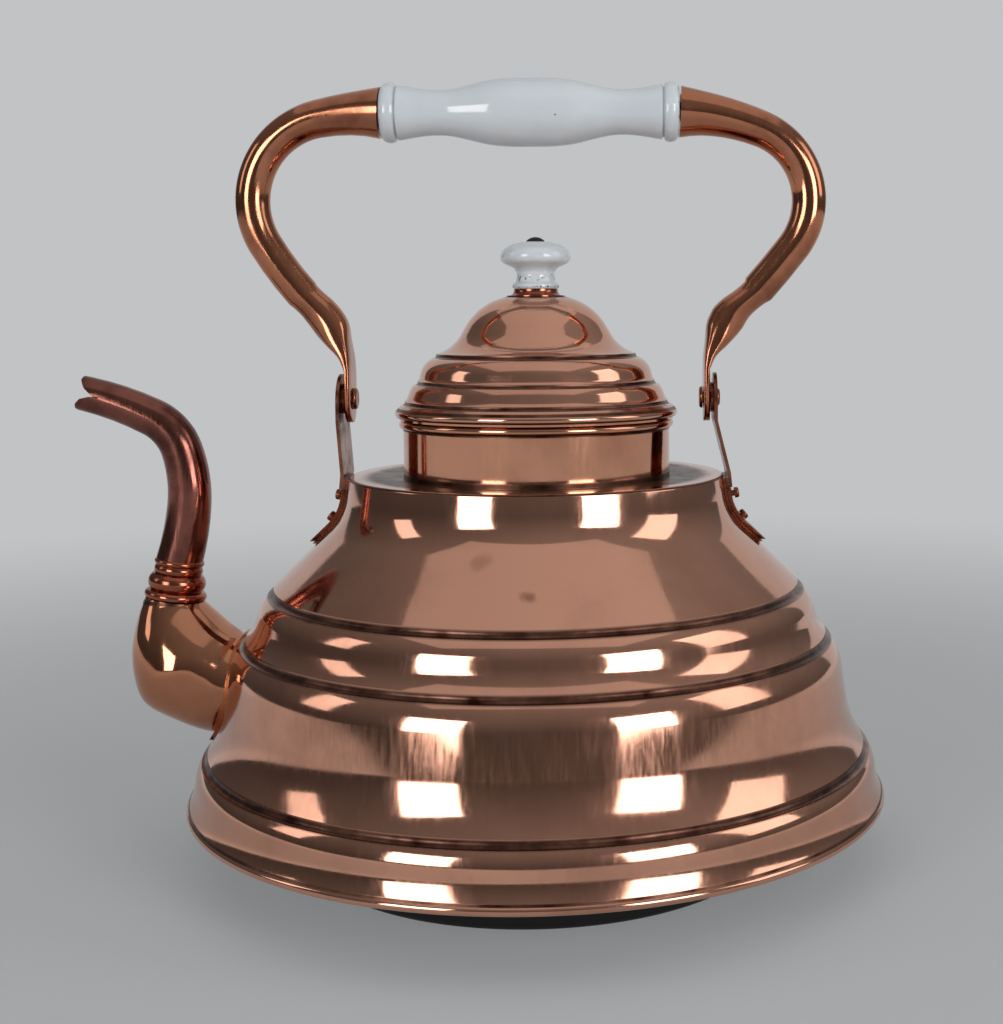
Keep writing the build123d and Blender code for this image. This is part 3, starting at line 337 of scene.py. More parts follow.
def tube(rings: Sequence[Ring], segments: int = 48, capped: bool = False) -> Mesh:
    """Bridges a row of rings that lie across the plane of X and Z.

    Args:
        rings: The rings in order.
        segments: The number of faces round the tube.
        capped: Whether both ends are closed.

    Returns:
        The tube's mesh, in metres.
    """
    skin = bmesh.new()
    last: list[bmesh.types.BMEdge] = []
    for number, ring in enumerate(rings):
        made = bmesh.ops.create_circle(skin, segments=segments, radius=1.0)["verts"]
        power = 2 / ring.squareness
        for corner in made:
            corner.co.x = math.copysign(abs(corner.co.x) ** power, corner.co.x) * ring.across / 2
            corner.co.y = math.copysign(abs(corner.co.y) ** power, corner.co.y) * ring.deep / 2
        side = Vector((0, 1, 0))
        up = ring.heading.normalized()
        lie = Matrix((up.cross(side), side, up)).transposed().to_4x4()
        lie = Matrix.Scale(MM, 4) @ Matrix.Translation(ring.place) @ lie
        bmesh.ops.transform(skin, matrix=lie, verts=made)
        linked = {edge for corner in made for edge in corner.link_edges if edge.other_vert(corner) in made}
        edges = list(linked)
        if last:
            bmesh.ops.bridge_loops(skin, edges=last + edges)
        if capped and number in (0, len(rings) - 1):
            bmesh.ops.contextual_create(skin, geom=edges)
        last = edges
    return skin


@dataclass(frozen=True)
class Bends:
    """A tube's centre line: a start and a heading in X and Z, then arcs as (radius, left turn)."""

    start: Point
    heading: float
    arcs: Sequence[Point]

    def walk(self, degrees_apart: float = 3.0) -> list[tuple[Vector, Vector, float]]:
        """Walks along the line.

        Args:
            degrees_apart: How far the tube turns between two places.

        Returns:
            The place, the heading and the distance walked at each place, in mm.
        """
        place = Vector((self.start[0], 0, self.start[1]))
        angle = math.radians(self.heading)
        walked = 0.0
        found = [(place.copy(), Vector((math.cos(angle), 0, math.sin(angle))), walked)]
        for radius, turn in self.arcs:
            parts = max(3, round(abs(turn) / degrees_apart))
            part_turn = math.radians(turn) / parts
            chord = 2 * radius * math.sin(abs(part_turn) / 2)
            for _ in range(parts):
                middle = angle + part_turn / 2
                place = place + chord * Vector((math.cos(middle), 0, math.sin(middle)))
                angle += part_turn
                walked += radius * abs(part_turn)
                found.append((place.copy(), Vector((math.cos(angle), 0, math.sin(angle))), walked))
        return found


def new_material(name: str) -> tuple[Material, Tree, bpy.types.Node]:
    """Makes a material, and gives it with its node tree and its main shader."""
    made = bpy.data.materials.new(name)
    made.use_nodes = True
    return made, made.node_tree, made.node_tree.nodes["Principled BSDF"]


def off_level(tree: Tree, along: Socket, level: float) -> Socket:
    """Measures how far a coordinate is from a level in mm, on either side of it."""
    off = add_node(tree, "Math", {0: along, 1: level * MM}, operation="SUBTRACT")
    return add_node(tree, "Math", {0: off}, operation="ABSOLUTE")


def off_spot(tree: Tree, place: Socket, spot: Sequence[float]) -> Socket:
    """Measures how far a place is from a spot, which is given in mm."""
    spot = [part * MM for part in spot]
    return add_node(tree, "VectorMath", {0: place, 1: spot}, "Value", operation="DISTANCE")


class Finish:
    """What a piece is made of and how its surface was worked."""

    def material(self) -> Material:
        """Makes the material."""
        raise NotImplementedError


@dataclass(frozen=True)
class CopperFinish(Finish):
    """Copper sheet or tube, spun or drawn, then polished and left to tarnish a little.

    Polished copper is a pink mirror. Handling leaves fine scratches that blur it, and tarnish
    settles as brown clouds and spots. The dark lines in grooves and corners are painted shade
    and dark reflection, in the groove colour. Lines are (height, half width) and spots are
    (x, y, z, size, strength), with lengths in mm.
    """

    name: str
    bright: str = "#DDA389"
    tarnish: str = "#6E3B2B"
    # groove is the colour of the painted shade and dark reflection along the lines in the grooves
    groove: str = "#2E1510"
    cloud_mm: float = 55.0
    cloud_range: Point = (0.42, 0.78)
    cloud_share: float = 0.3
    scratch_mm: float = 1.6
    scratch_stretch: Triple = (1.0, 0.35, 0.12)
    scratch_range: Point = (0.35, 0.75)
    scratch_depth: float = 0.004
    scratch_strength: float = 0.06
    roughness: Point = (0.045, 0.13)
    line_dulling: float = 0.28
    dirt_dulling: float = 0.22
    waviness_mm: float = 34.0
    waviness_depth: float = 0.2
    lines: Sequence[Point] = ()
    line_core: float = 0.45
    line_gap_mm: float = 11.1111
    line_gap_range: Point = (0.3, 0.7)
    line_least: float = 0.75
    spots: Sequence[tuple[float, float, float, float, float]] = ()
    spot_raggedness: float = 0.9
    spot_edge: Point = (1.15, 0.6)

    def material(self) -> Material:
        """Makes the material."""
        made, tree, shader = new_material(self.name)
        place = add_node(tree, "TexCoord", {}, "Object")
        dirt = self.dirt_mask(tree, place)
        line = self.groove_shade_mask(tree, place)
        metal = add_node(tree, "Mix", {0: dirt, 6: linear(self.bright), 7: linear(self.tarnish)}, 2, **RGBA)
        # the lines lay the groove colour over the metal as painted shade in the grooves
        colour = add_node(tree, "Mix", {0: line, 6: metal, 7: linear(self.groove)}, 2, **RGBA)
        wire(tree, shader, {"Metallic": 1.0, "Base Color": colour})
        self.gloss(tree, shader, place, line, dirt)
        return made

    def dirt_mask(self, tree: Tree, place: Socket) -> Socket:
        """Marks the brown clouds, and each stain with its ragged edge."""
        clouds = {"Vector": place, "Scale": scale_for(self.cloud_mm), "Detail": 6.0, "Roughness": 0.6}
        clouds = add_node(tree, "TexNoise", clouds)
        low, high = self.cloud_range
        steps = {"Value": clouds, "From Min": low, "From Max": high, "To Max": self.cloud_share}
        dirt = add_node(tree, "MapRange", steps, **SMOOTH)
        outer, inner = self.spot_edge
        for x, y, z, size, strength in self.spots:
            reach = size * MM
            away = off_spot(tree, place, (x, y, z))
            ragged = add_node(tree, "TexNoise", {"Vector": place, "Scale": 1 / reach, "Detail": 4.0})
            edge = {0: ragged, 1: reach * self.spot_raggedness, 2: away}
            edge = add_node(tree, "Math", edge, operation="MULTIPLY_ADD")
            steps = {"Value": edge, "From Min": reach * outer, "From Max": reach * inner, "To Max": strength}
            spot = add_node(tree, "MapRange", steps, **SMOOTH)
            dirt = add_node(tree, "Math", {0: dirt, 1: spot}, operation="MAXIMUM")
        return dirt

    def groove_shade_mask(self, tree: Tree, place: Socket) -> Socket:
        """Marks the painted shade lines, where dark reflection and shade fall in the grooves, a little broken
        up.
        """
        height = add_node(tree, "SeparateXYZ", {0: place}, 2)
        mask = 0.0
        for middle, half in self.lines:
            half *= MM
            off = off_level(tree, height, middle)
            steps = {"Value": off, "From Min": half, "From Max": half * self.line_core}
            line = add_node(tree, "MapRange", steps, **SMOOTH)
            mask = add_node(tree, "Math", {0: mask, 1: line}, operation="MAXIMUM")
        gaps = {"Vector": place, "Scale": scale_for(self.line_gap_mm), "Detail": 3.0}
        gaps = add_node(tree, "TexNoise", gaps)
        low, high = self.line_gap_range
        steps = {"Value": gaps, "From Min": low, "From Max": high, "To Min": self.line_least}
        gaps = add_node(tree, "MapRange", steps)
        return add_node(tree, "Math", {0: mask, 1: gaps}, operation="MULTIPLY")

    def gloss(self, tree: Tree, shader: bpy.types.Node, place: Socket, line: Socket, dirt: Socket) -> None:
        """Links the roughness of scratches and tarnish, and the slight waves of hammered sheet."""
        stretched = add_node(tree, "Mapping", {0: place, 3: self.scratch_stretch})
        lines = {"Vector": stretched, "Scale": scale_for(self.scratch_mm), "Detail": 5.0, "Roughness": 0.7}
        scratches = add_node(tree, "TexNoise", lines)
        faint, deep = self.scratch_range
        low, high = self.roughness
        steps = {"Value": scratches, "From Min": faint, "From Max": deep, "To Min": low, "To Max": high}
        rough = add_node(tree, "MapRange", steps)
        for mask, dulling in ((line, self.line_dulling), (dirt, self.dirt_dulling)):
            rough = add_node(tree, "Math", {0: mask, 1: dulling, 2: rough}, operation="MULTIPLY_ADD")
        waves = {"Vector": place, "Scale": scale_for(self.waviness_mm), "Detail": 1.0}
        waves = add_node(tree, "TexNoise", waves)
        bump = {"Height": waves, "Strength": 1.0, "Distance": self.waviness_depth * MM}
        bump = add_node(tree, "Bump", bump)
        fine = {"Height": scratches, "Strength": self.scratch_strength, "Normal": bump}
        fine = add_node(tree, "Bump", {**fine, "Distance": self.scratch_depth * MM})
        wire(tree, shader, {"Roughness": rough, "Normal": fine})


@dataclass(frozen=True)
class Porcelain(Finish):
    """Glazed white porcelain, cast and fired, which is white with a blue cast under a hard gloss.

    Iron specks show as dark dots, and the glaze is chipped to the grey body at thin edges. Chip
    bands are (middle, half width, share) along one axis and spots are (x, y, z, size), in mm.
    """

    name: str
    glaze: str = "#DDE2E5"
    shade: str = "#C9D1D7"
    speck: str = "#4A4038"
    coat: float = 0.35
    coat_roughness: float = 0.04
    cloud_mm: float = 22.2222
    speck_mm: float = 16.0
    speck_size: float = 0.03
    speck_core: float = 0.4
    chip_mm: float = 1.53846
    chip_range: Point = (0.8, 0.87)
    chip_bands: Sequence[Triple] = ()
    chip_axis: int = 2
    spots: Sequence[tuple[float, float, float, float]] = ()
    roughness: Point = (0.12, 0.7)
    dent_depth: float = 0.15
    dent_strength: float = 0.6

    def material(self) -> Material:
        """Makes the material."""
        made, tree, shader = new_material(self.name)
        place = add_node(tree, "TexCoord", {}, "Object")
        clouds = {"Vector": place, "Scale": scale_for(self.cloud_mm), "Detail": 3.0}
        clouds = add_node(tree, "TexNoise", clouds)
        glaze = add_node(tree, "Mix", {0: clouds, 6: linear(self.glaze), 7: linear(self.shade)}, 2, **RGBA)
        marks = self.marks(tree, place)
        colour = add_node(tree, "Mix", {0: marks, 6: glaze, 7: linear(self.speck)}, 2, **RGBA)
        low, high = self.roughness
        rough = add_node(tree, "MapRange", {"Value": marks, "To Min": low, "To Max": high})
        dent = {"Height": marks, "Strength": self.dent_strength, "Distance": self.dent_depth * MM}
        dent = add_node(tree, "Bump", dent, invert=True)
        wire(tree, shader, {"IOR": 1.5, "Coat Weight": self.coat, "Coat Roughness": self.coat_roughness})
        wire(tree, shader, {"Base Color": colour, "Roughness": rough, "Normal": dent})
        return made

    def marks(self, tree: Tree, place: Socket) -> Socket:
        """Marks the scattered specks, the chips in their bands and the placed spots."""
        cells = {"Vector": place, "Scale": scale_for(self.speck_mm)}
        cells = add_node(tree, "TexVoronoi", cells, "Distance", feature="F1")
        ramps = [(cells, self.speck_size, self.speck_size * self.speck_core)]
        grain = {"Vector": place, "Scale": scale_for(self.chip_mm), "Detail": 4.0}
        grain = add_node(tree, "TexNoise", grain)
        along = add_node(tree, "SeparateXYZ", {0: place}, self.chip_axis)
        for middle, half, share in self.chip_bands:
            off = off_level(tree, along, middle)
            steps = {"Value": off, "From Min": half * MM, "From Max": 0.0, "To Max": share}
            band = add_node(tree, "MapRange", steps)
            near = add_node(tree, "Math", {0: band, 1: grain}, operation="ADD")
            ramps.append((near, *self.chip_range))
        for *spot, size in self.spots:
            ramps.append((off_spot(tree, place, spot), size * MM, size * MM / 2))
        marks = None
        for value, none, full in ramps:
            mark = add_node(tree, "MapRange", {"Value": value, "From Min": none, "From Max": full})
            marks = add_node(tree, "Math", {0: marks, 1: mark}, operation="MAXIMUM") if marks else mark
        return marks


@dataclass(frozen=True)
class DullMetal(Finish):
    """Blackened or plain iron sheet, wire and screws, rolled or drawn and darkened by heat.

    Scale and soot give it a grained, uneven grey to black with almost no shine.
    """

    name: str
    dark: str = "#141211"
    light: str = "#3A3532"
    grain_mm: float = 2.5
    grain_depth: float = 0.05
    metallic: float = 0.6
    roughness: Point = (0.45, 0.75)

    def material(self) -> Material:
        """Makes the material."""
        made, tree, shader = new_material(self.name)
        place = add_node(tree, "TexCoord", {}, "Object")
        grain = {"Vector": place, "Scale": scale_for(self.grain_mm), "Detail": 8.0, "Roughness": 0.65}
        grain = add_node(tree, "TexNoise", grain)
        colour = add_node(tree, "Mix", {0: grain, 6: linear(self.dark), 7: linear(self.light)}, 2, **RGBA)
        low, high = self.roughness
        rough = add_node(tree, "MapRange", {"Value": grain, "To Min": low, "To Max": high})
        bump = {"Height": grain, "Strength": 0.4, "Distance": self.grain_depth * MM}
        bump = add_node(tree, "Bump", bump)
        wire(tree, shader, {"Metallic": self.metallic, "Base Color": colour})
        wire(tree, shader, {"Roughness": rough, "Normal": bump})
        return made


# body and lid: polished sheet, with painted shade lines where the tiers meet and two brown stains on the
# flank
BODY_COPPER = CopperFinish(
    "polished_copper_body",
    lines=((47.9, 2.0), (94.8, 2.0), (115.8, 2.0), (163.0, 0.5), (29.2, 0.7)),
    spots=((2.2, -102.4, 128.0, 6.0, 0.55), (-16.4, -89.1, 139.0, 8.0, 0.3)),
)
# lid: painted shade lines in its grooves and creases, and in the gap under its rolled rim
LID_COPPER = CopperFinish(
    "polished_copper_lid",
    lines=((188.9, 0.7), (192.3, 0.9), (194.9, 1.1), (203.5, 1.1), (215.0, 1.1), (240.5, 0.8)),
)
# neck: painted shade lines where it meets the shoulder and under its rolled edge
NECK_COPPER = CopperFinish("polished_copper_neck", bright="#D59A7C", lines=((163.8, 1.4), (183.9, 0.8)))
# elbow: polished, with the black flux that soldering left at its root, and painted shade where the ferrule
# sits on it
ELBOW_COPPER = CopperFinish(
    "polished_copper_elbow",
    bright="#C48566",
    groove="#1B1812",
    tarnish="#33261C",
    cloud_share=0.35,
    lines=((108.9, 1.2),),
    spots=((-139.0, 0.0, 50.0, 12.0, 1.0), (-136.0, 0.0, 92.0, 9.0, 0.6)),
)
SOLDER_COPPER = CopperFinish(
    "soldered_copper",
    bright="#B96B42",
    tarnish="#1C1E17",
    cloud_mm=9.0,
    cloud_share=0.7,
    roughness=(0.16, 0.4),
    waviness_mm=5.0,
    waviness_depth=0.2,
    spots=((-136.0, 0.0, 48.0, 15.0, 1.0),),
)
FERRULE_COPPER = CopperFinish(
    "reddened_copper_ferrule",
    bright="#A8624A",
    tarnish="#3C1D16",
    cloud_mm=12.0,
    cloud_share=0.6,
    roughness=(0.1, 0.22),
)
# spout tube: drawn tube that steam has darkened to purple-brown
SPOUT_COPPER = CopperFinish(
    "steam_darkened_copper_tube",
    bright="#8C584C",
    tarnish="#2C1518",
    cloud_mm=24.0,
    cloud_share=0.8,
    roughness=(0.08, 0.22),
    waviness_mm=16.0,
    waviness_depth=0.1,
)
# arms: drawn tube that is handled daily, orange-brown with long bright streaks
ARM_COPPER = CopperFinish(
    "handled_copper_tube",
    bright="#BE7C5E",
    tarnish="#3F1E12",
    cloud_mm=26.0,
    cloud_share=0.6,
    roughness=(0.06, 0.16),
    waviness_mm=18.0,
    waviness_depth=0.1,
    spots=((-68.0, 0.0, 321.0, 15.0, 0.85), (66.0, 0.0, 321.0, 13.0, 0.7)),
)
EAR_COPPER = CopperFinish(
    "tarnished_copper_strap",
    bright="#96604B",
    tarnish="#1E1210",
    cloud_mm=9.0,
    cloud_share=1.0,
    roughness=(0.15, 0.35),
    waviness_mm=7.0,
    waviness_depth=0.12,
)
RIVET_COPPER = CopperFinish(
    "hammered_copper_rivet",
    bright="#96593F",
    tarnish="#2C1813",
    cloud_mm=3.0,
    cloud_share=0.7,
    roughness=(0.18, 0.4),
    waviness_mm=2.0,
    waviness_depth=0.2,
)
KNOB_PORCELAIN = Porcelain("glazed_porcelain_knob", chip_bands=((244.6, 1.6, 0.3), (248.4, 3.4, 0.26)))
GRIP_PORCELAIN = Porcelain(
    "glazed_porcelain_grip",
    chip_bands=((-65.4, 1.0, 0.27), (62.0, 1.0, 0.27)),
    chip_axis=0,
    spots=(
        (9.6, -14.3, 316.6, 0.5),
        (41.6, -10.4, 324.0, 0.5),
        (22.6, -13.0, 315.0, 0.4),
        (-19.5, -13.4, 315.0, 0.4),
    ),
)
PAN_SHEET = DullMetal("blackened_sheet", dark="#090808", light="#1C1917", metallic=0.3)
IRON_WIRE = DullMetal("plain_iron", dark="#2A2725", light="#5A5450", grain_mm=1.0, metallic=0.9)
SCREW_STEEL = DullMetal("darkened_screw", dark="#1A1614", light="#4A4038", grain_mm=0.8, metallic=0.8)


@dataclass
class KettleBody:
    """The spun body, its rolled rim, the neck collar and the black pan let into the base."""

    sheet: float = 0.9
    rim_centre: Point = (148.25, 27.2)
    rim_bead: float = 1.85
    rim_top: Point = (149.2, 28.7)
    tiers: Sequence[Sequence[Point]] = (
        ((146.5, 37.0), (146.0, 40.5), (143.5, 46.6), (141.1, 49.8)),
        ((134.0, 68.0), (131.6, 84.0), (127.3, 93.6), (124.9, 96.8)),
        ((120.3, 105.0), (119.7, 107.5), (115.4, 114.6), (113.0, 117.8)),
    )
    groove_depth: float = 1.2
    flank_high: Point = (83.0, 146.4)
    flank_bend: float = 24.0
    shoulder_edge: Point = (81.0, 163.6)
    shoulder_round: float = 1.3
    neck_seat: float = 162.8
    neck_tuck: float = 2.5
    neck_radius: float = 57.65
    neck_bead: float = 1.8
    neck_bead_height: float = 185.8
    pan_radius: float = 101.0
    pan_mouth: float = 104.5
    pan_lip: Point = (146.3, 26.6)
    pan_rounds: Point = (4.5, 2.5)
    pan_sheet: float = 1.2

    def build_shell(self) -> None:
        """Spins the body from its rolled rim to the hole for the neck."""
        wall = Outline((self.rim_centre[0] - self.rim_bead, self.rim_centre[1]))
        wall.ring(self.rim_centre, self.rim_bead, 182, 417)
        wall.line(self.rim_top)
        wall.tiers(self.tiers, self.groove_depth)
        wall.rounded(self.flank_high, self.shoulder_edge, self.flank_bend)
        wall.rounded(self.shoulder_edge, (self.neck_radius, self.neck_seat), self.shoulder_round, 6)
        wall.line((self.neck_radius + 0.1, self.neck_seat))
        piece = spun(wall)
        finished_piece(piece, "body_sheet", Body.KETTLE, BODY_COPPER, ["body_shell"], self.sheet)

    def build_neck(self) -> None:
        """Spins the neck collar with its rolled edge."""
        low = self.neck_seat - self.neck_tuck
        centre = (self.neck_radius, self.neck_bead_height)
        neck = Outline((self.neck_radius, low))
        neck.line((self.neck_radius, self.neck_bead_height - self.neck_bead))
        neck.ring(centre, self.neck_bead, -88, 238, 26)
        neck.line((self.neck_radius - self.sheet, low))
        piece = spun(neck, closed=True)
        finished_piece(piece, "neck_sheet", Body.KETTLE, NECK_COPPER, ["neck_collar"])

    def build_pan(self) -> None:
        """Spins the pressed pan: floor, rounded foot, wall and flat lip."""
        pan = Outline((0.0, 0.0))
        foot_round, mouth_round = self.pan_rounds
        pan.rounded((self.pan_radius, 0.0), (self.pan_mouth, self.pan_lip[1]), foot_round)
        pan.rounded((self.pan_mouth, self.pan_lip[1]), self.pan_lip, mouth_round).line(self.pan_lip)
        piece = spun(pan, 192)
        finished_piece(piece, "pan_sheet", Body.KETTLE, PAN_SHEET, ["base_pan"], -self.pan_sheet)

    def build(self) -> None:
        """Builds the whole body."""
        self.build_shell()
        self.build_neck()
        self.build_pan()


@dataclass
class Spout:
    """The horn-shaped elbow, the beaded ferrule and the swan neck with its fish-mouth tip."""

    sheet: float = 0.9
    root: Point = (-133.6, 71.0)
    throat: Sequence[Point] = (
        (-21.0, 17.4), (-6.3, 20.9), (-1.4, 24.0), (2.9, 27.2), (7.0, 30.9), (10.2, 33.9),
        (12.4, 36.0), (13.1, 36.7),
    )
    heel: Sequence[Point] = (
        (-8.0, -19.4), (9.5, -20.2), (26.5, -14.1), (38.4, -6.9), (42.9, 4.0), (43.9, 17.2),
        (41.6, 30.0), (38.1, 40.2),
    )
    foot: Point = (-159.2, 109.4)
    lean: float = 8.0
    beads: Sequence[Triple] = (
        (13.2, 3.7, 1.0),
        (12.2, 7.3, 1.5),
        (10.3, 3.9, 0.6),
        (10.6, 2.7, 0.8),
    )
    bead_gap: float = 0.2
    bead_belly: Sequence[Point] = ((0.25, 0.24), (0.0, 0.5), (0.25, 0.76))
    tube: Bends = Bends((-156.75, 126.8), 72.9, ((117.0, 11.8), (60.0, 23.2), (24.6, 45.5), (133.0, 16.4)))
    tube_wide: float = 19.8
    tube_tip: float = 15.0
    tail: float = 2.2
    notch: float = 12.3
    upper_lip: Sequence[Point] = ((0.0, 0.0), (4.0, 2.8), (6.4, 6.0), (6.4, 9.0))
    lower_lip: Sequence[Point] = ((0.0, 0.0), (5.2, -2.3), (7.1, -4.8), (7.3, -6.7), (5.4, -8.6))

    def build_elbow(self) -> None:
        """Bridges rings between the throat line and the heel line."""
        throat = smooth_line([Vector(point) for point in self.throat], 6)
        heel = smooth_line([Vector(point) for point in self.heel], 6)
        rings = []
        for upper, lower in zip(throat, heel):
            high = Vector((self.root[0] - upper.x, 0, self.root[1] + upper.y))
            low = Vector((self.root[0] - lower.x, 0, self.root[1] + lower.y))
            width = (high - low).length
            heading = (high - low).cross(Vector((0, 1, 0)))
            rings.append(Ring((high + low) / 2, heading, width, width))
        piece = tube(rings, 96)
        finished_piece(piece, "elbow_sheet", Body.KETTLE, ELBOW_COPPER, ["spout_elbow"], self.sheet)

    def build_ferrule(self) -> None:
        """Spins the stack of beads on the ferrule's leaning axis."""
        bore = self.tube_wide / 2 - self.sheet
        beads = Outline((bore, 0.0))
        height = 0.0
        for radius, tall, sink in self.beads:
            beads.line((radius - sink, height + self.bead_gap / 2))
            belly = [(radius - inset * sink, height + share * tall) for inset, share in self.bead_belly]
            beads.curve(*belly, (radius - sink, height + tall - self.bead_gap / 2))
            height += tall
        beads.line((bore, height))
        lie = Matrix.Translation((self.foot[0] * MM, 0, self.foot[1] * MM))
        lie = lie @ Matrix.Rotation(math.radians(self.lean), 4, "Y")
        piece = spun(beads, 96, closed=True, lie=lie)
        finished_piece(piece, "ferrule_beads", Body.KETTLE, FERRULE_COPPER, ["spout_ferrule"])

    def build_tube(self) -> None:
        """Bridges the swan neck, whose first ring is sunk into the ferrule."""
        places = self.tube.walk()
        length = places[-1][2]
        rings = []
        for place, heading, walked in places:
            width = self.tube_wide + (self.tube_tip - self.tube_wide) * walked / length
            rings.append(Ring(place, heading, width, width))
        first = rings[0]
        sunk = first.place - first.heading * self.tail
        rings.insert(0, Ring(sunk, first.heading, first.across, first.deep))
        piece = tube(rings, 64)
        tip, heading, _ = places[-1]
        self.cut_mouth(piece, (tip - heading * self.notch) * MM, heading)
        finished_piece(
            piece, "swan_neck", Body.KETTLE, SPOUT_COPPER, ["spout_tube"], self.sheet
        )

    def cut_mouth(self, piece: Mesh, mouth: Vector, heading: Vector) -> None:
        """Cuts the tip to a fish mouth, with one cut for each run of its two lips.

        Args:
            piece: The tube's mesh, in metres.
            mouth: The notch between the lips, in metres.
            heading: The way that the tip points.
        """
        up = Vector((0, 1, 0)).cross(heading) * -1
        up = up if up.z > 0 else -up
        reach = 2 * self.tube_tip * MM
        # The first cut only parts the faces between the two lips, and clears nothing.
        cuts = [(0, (-1.0, 0.0), (0.0, 0.0))]
        for sign, lip in ((1, self.upper_lip), (-1, self.lower_lip)):
            cuts += [(sign, near, far) for near, far in zip(lip, lip[1:])]
        for sign, near, far in cuts:
            away = {face: face.calc_center_median() - mouth for face in piece.faces}
            half = [face for face, off in away.items() if off.length < reach and off.dot(up) * sign >= 0]
            edges = list({edge for face in half for edge in face.edges})
            corners = list({corner for face in half for corner in face.verts})
            run = heading * (far[0] - near[0]) + up * (far[1] - near[1])
            out = Vector((0, 1, 0)).cross(run).normalized()
            out = out if out.dot(heading) > 0 else -out
            cut = mouth + (heading * near[0] + up * near[1]) * MM
            bmesh.ops.bisect_plane(
                piece, geom=corners + edges + half, plane_co=cut, plane_no=out, clear_outer=sign != 0
            )

    def build(self) -> None:
        """Builds the whole spout."""
        self.build_elbow()
        self.build_ferrule()
        self.build_tube()


@dataclass
class Lid:
    """The stepped lid with its rolled rim, its plug ring, and the knob on its seat."""

    sheet: float = 0.9
    rim_centre: Point = (59.55, 190.45)
    rim_bead: float = 1.65
    edge_high: Point = (58.68, 193.89)
    groove_depth: float = 0.7
    first_groove: Point = (56.88, 195.79)
    tiers: Sequence[Sequence[Point]] = (
        ((55.83, 197.34), (54.83, 199.84), (53.13, 202.54), (51.33, 204.44)),
        ((50.48, 205.84), (49.93, 207.94), (45.03, 214.04), (43.23, 215.94)),
    )
    dome_wall: Sequence[Point] = ((32.43, 224.24), (30.43, 227.74))
    crown: Point = (12.83, 240.34)
    crown_hole: float = 2.1
    plug_radius: float = 55.45
    plug_lip: float = 59.3
    plug_high: float = 188.8
    plug_low: float = 176.8
    plug_clear: float = 0.1
    seat_low: float = 240.44
    seat_foot: float = 12.7
    seat_top: float = 9.5
    seat_high: float = 243.64
    seat_edge: float = 0.4
    knob_low: float = 243.74
    knob_foot: Sequence[Point] = ((9.4, 243.74), (10.0, 244.24))
    knob_high: float = 264.04
    bore: float = 2.2
    shank: float = 2.0
    screw_radius: float = 3.9
    screw_low: float = 233.3
    screw_seat: float = 264.14
    screw_edge: float = 264.5
    screw_high: float = 266.1
    knob_line: Sequence[Point] = (
        (10.2, 244.9), (9.9, 245.9), (8.8, 246.7), (8.3, 248.2), (8.2, 249.8), (8.5, 251.3),
        (9.8, 252.8), (12.2, 253.9), (14.3, 255.1), (15.2, 256.6), (15.2, 258.2), (14.5, 259.9),
        (13.0, 261.5), (10.2, 263.0), (6.8, 263.9),
    )

    def build_cover(self) -> None:
        """Spins the cover from its rolled rim to its crown."""
        cover = Outline((self.rim_centre[0] - self.rim_bead, self.rim_centre[1]))
        cover.ring(self.rim_centre, self.rim_bead, 182, 400)
        cover.line(self.edge_high).groove(self.first_groove, self.groove_depth)
        cover.tiers(self.tiers, self.groove_depth)
        run = Vector(self.dome_wall[1]) - Vector(self.dome_wall[0])
        cover.arc_into(self.dome_wall[0], run, 16).line(self.dome_wall[1]).arc(self.crown, run, 20)
        cover.line((self.crown_hole, self.crown[1]))
        finished_piece(spun(cover), "lid_sheet", Body.LID, LID_COPPER, ["lid_cover"], self.sheet)

    def build_plug(self) -> None:
        """Spins the ring that drops into the neck."""
        inner = self.plug_radius - self.sheet
        plug = Outline((self.plug_radius, self.plug_low)).line(
            (self.plug_radius, self.plug_high - self.sheet),
            (self.plug_lip, self.plug_high - self.sheet),
            (self.plug_lip, self.plug_high - self.plug_clear),
            (inner, self.plug_high - self.plug_clear),
            (inner, self.plug_low),
        )
        piece = spun(plug, 192, closed=True)
        finished_piece(piece, "lid_ring", Body.LID, NECK_COPPER, ["lid_plug"])

    def build_knob(self) -> None:
        """Spins the copper seat, the porcelain knob and the head of its screw."""
        seat = Outline((self.bore, self.seat_low)).line((self.seat_foot, self.seat_low))
        seat.line((self.seat_foot, self.seat_low + self.seat_edge))
        seat.arc_into((self.seat_top, self.seat_high - self.seat_edge), (0.0, 1.0))
        seat.line((self.seat_top, self.seat_high), (self.bore, self.seat_high))
        piece = spun(seat, 96, closed=True)
        finished_piece(piece, "seat_ring", Body.LID, FERRULE_COPPER, ["knob_seat"])
        knob = Outline((self.bore, self.knob_low)).line(*self.knob_foot)
        knob.curve(*self.knob_line).line((self.bore, self.knob_high))
        piece = spun(knob, 128, closed=True)
        finished_piece(piece, "knob_body", Body.LID, KNOB_PORCELAIN, ["knob"])
        head = Outline((0.0, self.screw_low))
        head.line((self.shank, self.screw_low), (self.shank, self.screw_seat))
        head.line((self.screw_radius, self.screw_seat), (self.screw_radius, self.screw_edge))
        head.arc_into((0.0, self.screw_high), (-1.0, 0.0), 12)
        piece = spun(head, 64)
        finished_piece(piece, "screw_head", Body.LID, SCREW_STEEL, ["knob_screw"])

    def build(self) -> None:
        """Builds the whole lid."""
        self.build_cover()
        self.build_plug()
        self.build_knob()


@dataclass(frozen=True)
class Arm:
    """What differs between the arms: the lug's place, the first heading and the arcs."""

    side: Side
    lug_place: float
    heading: float
    arcs: Sequence[Point]


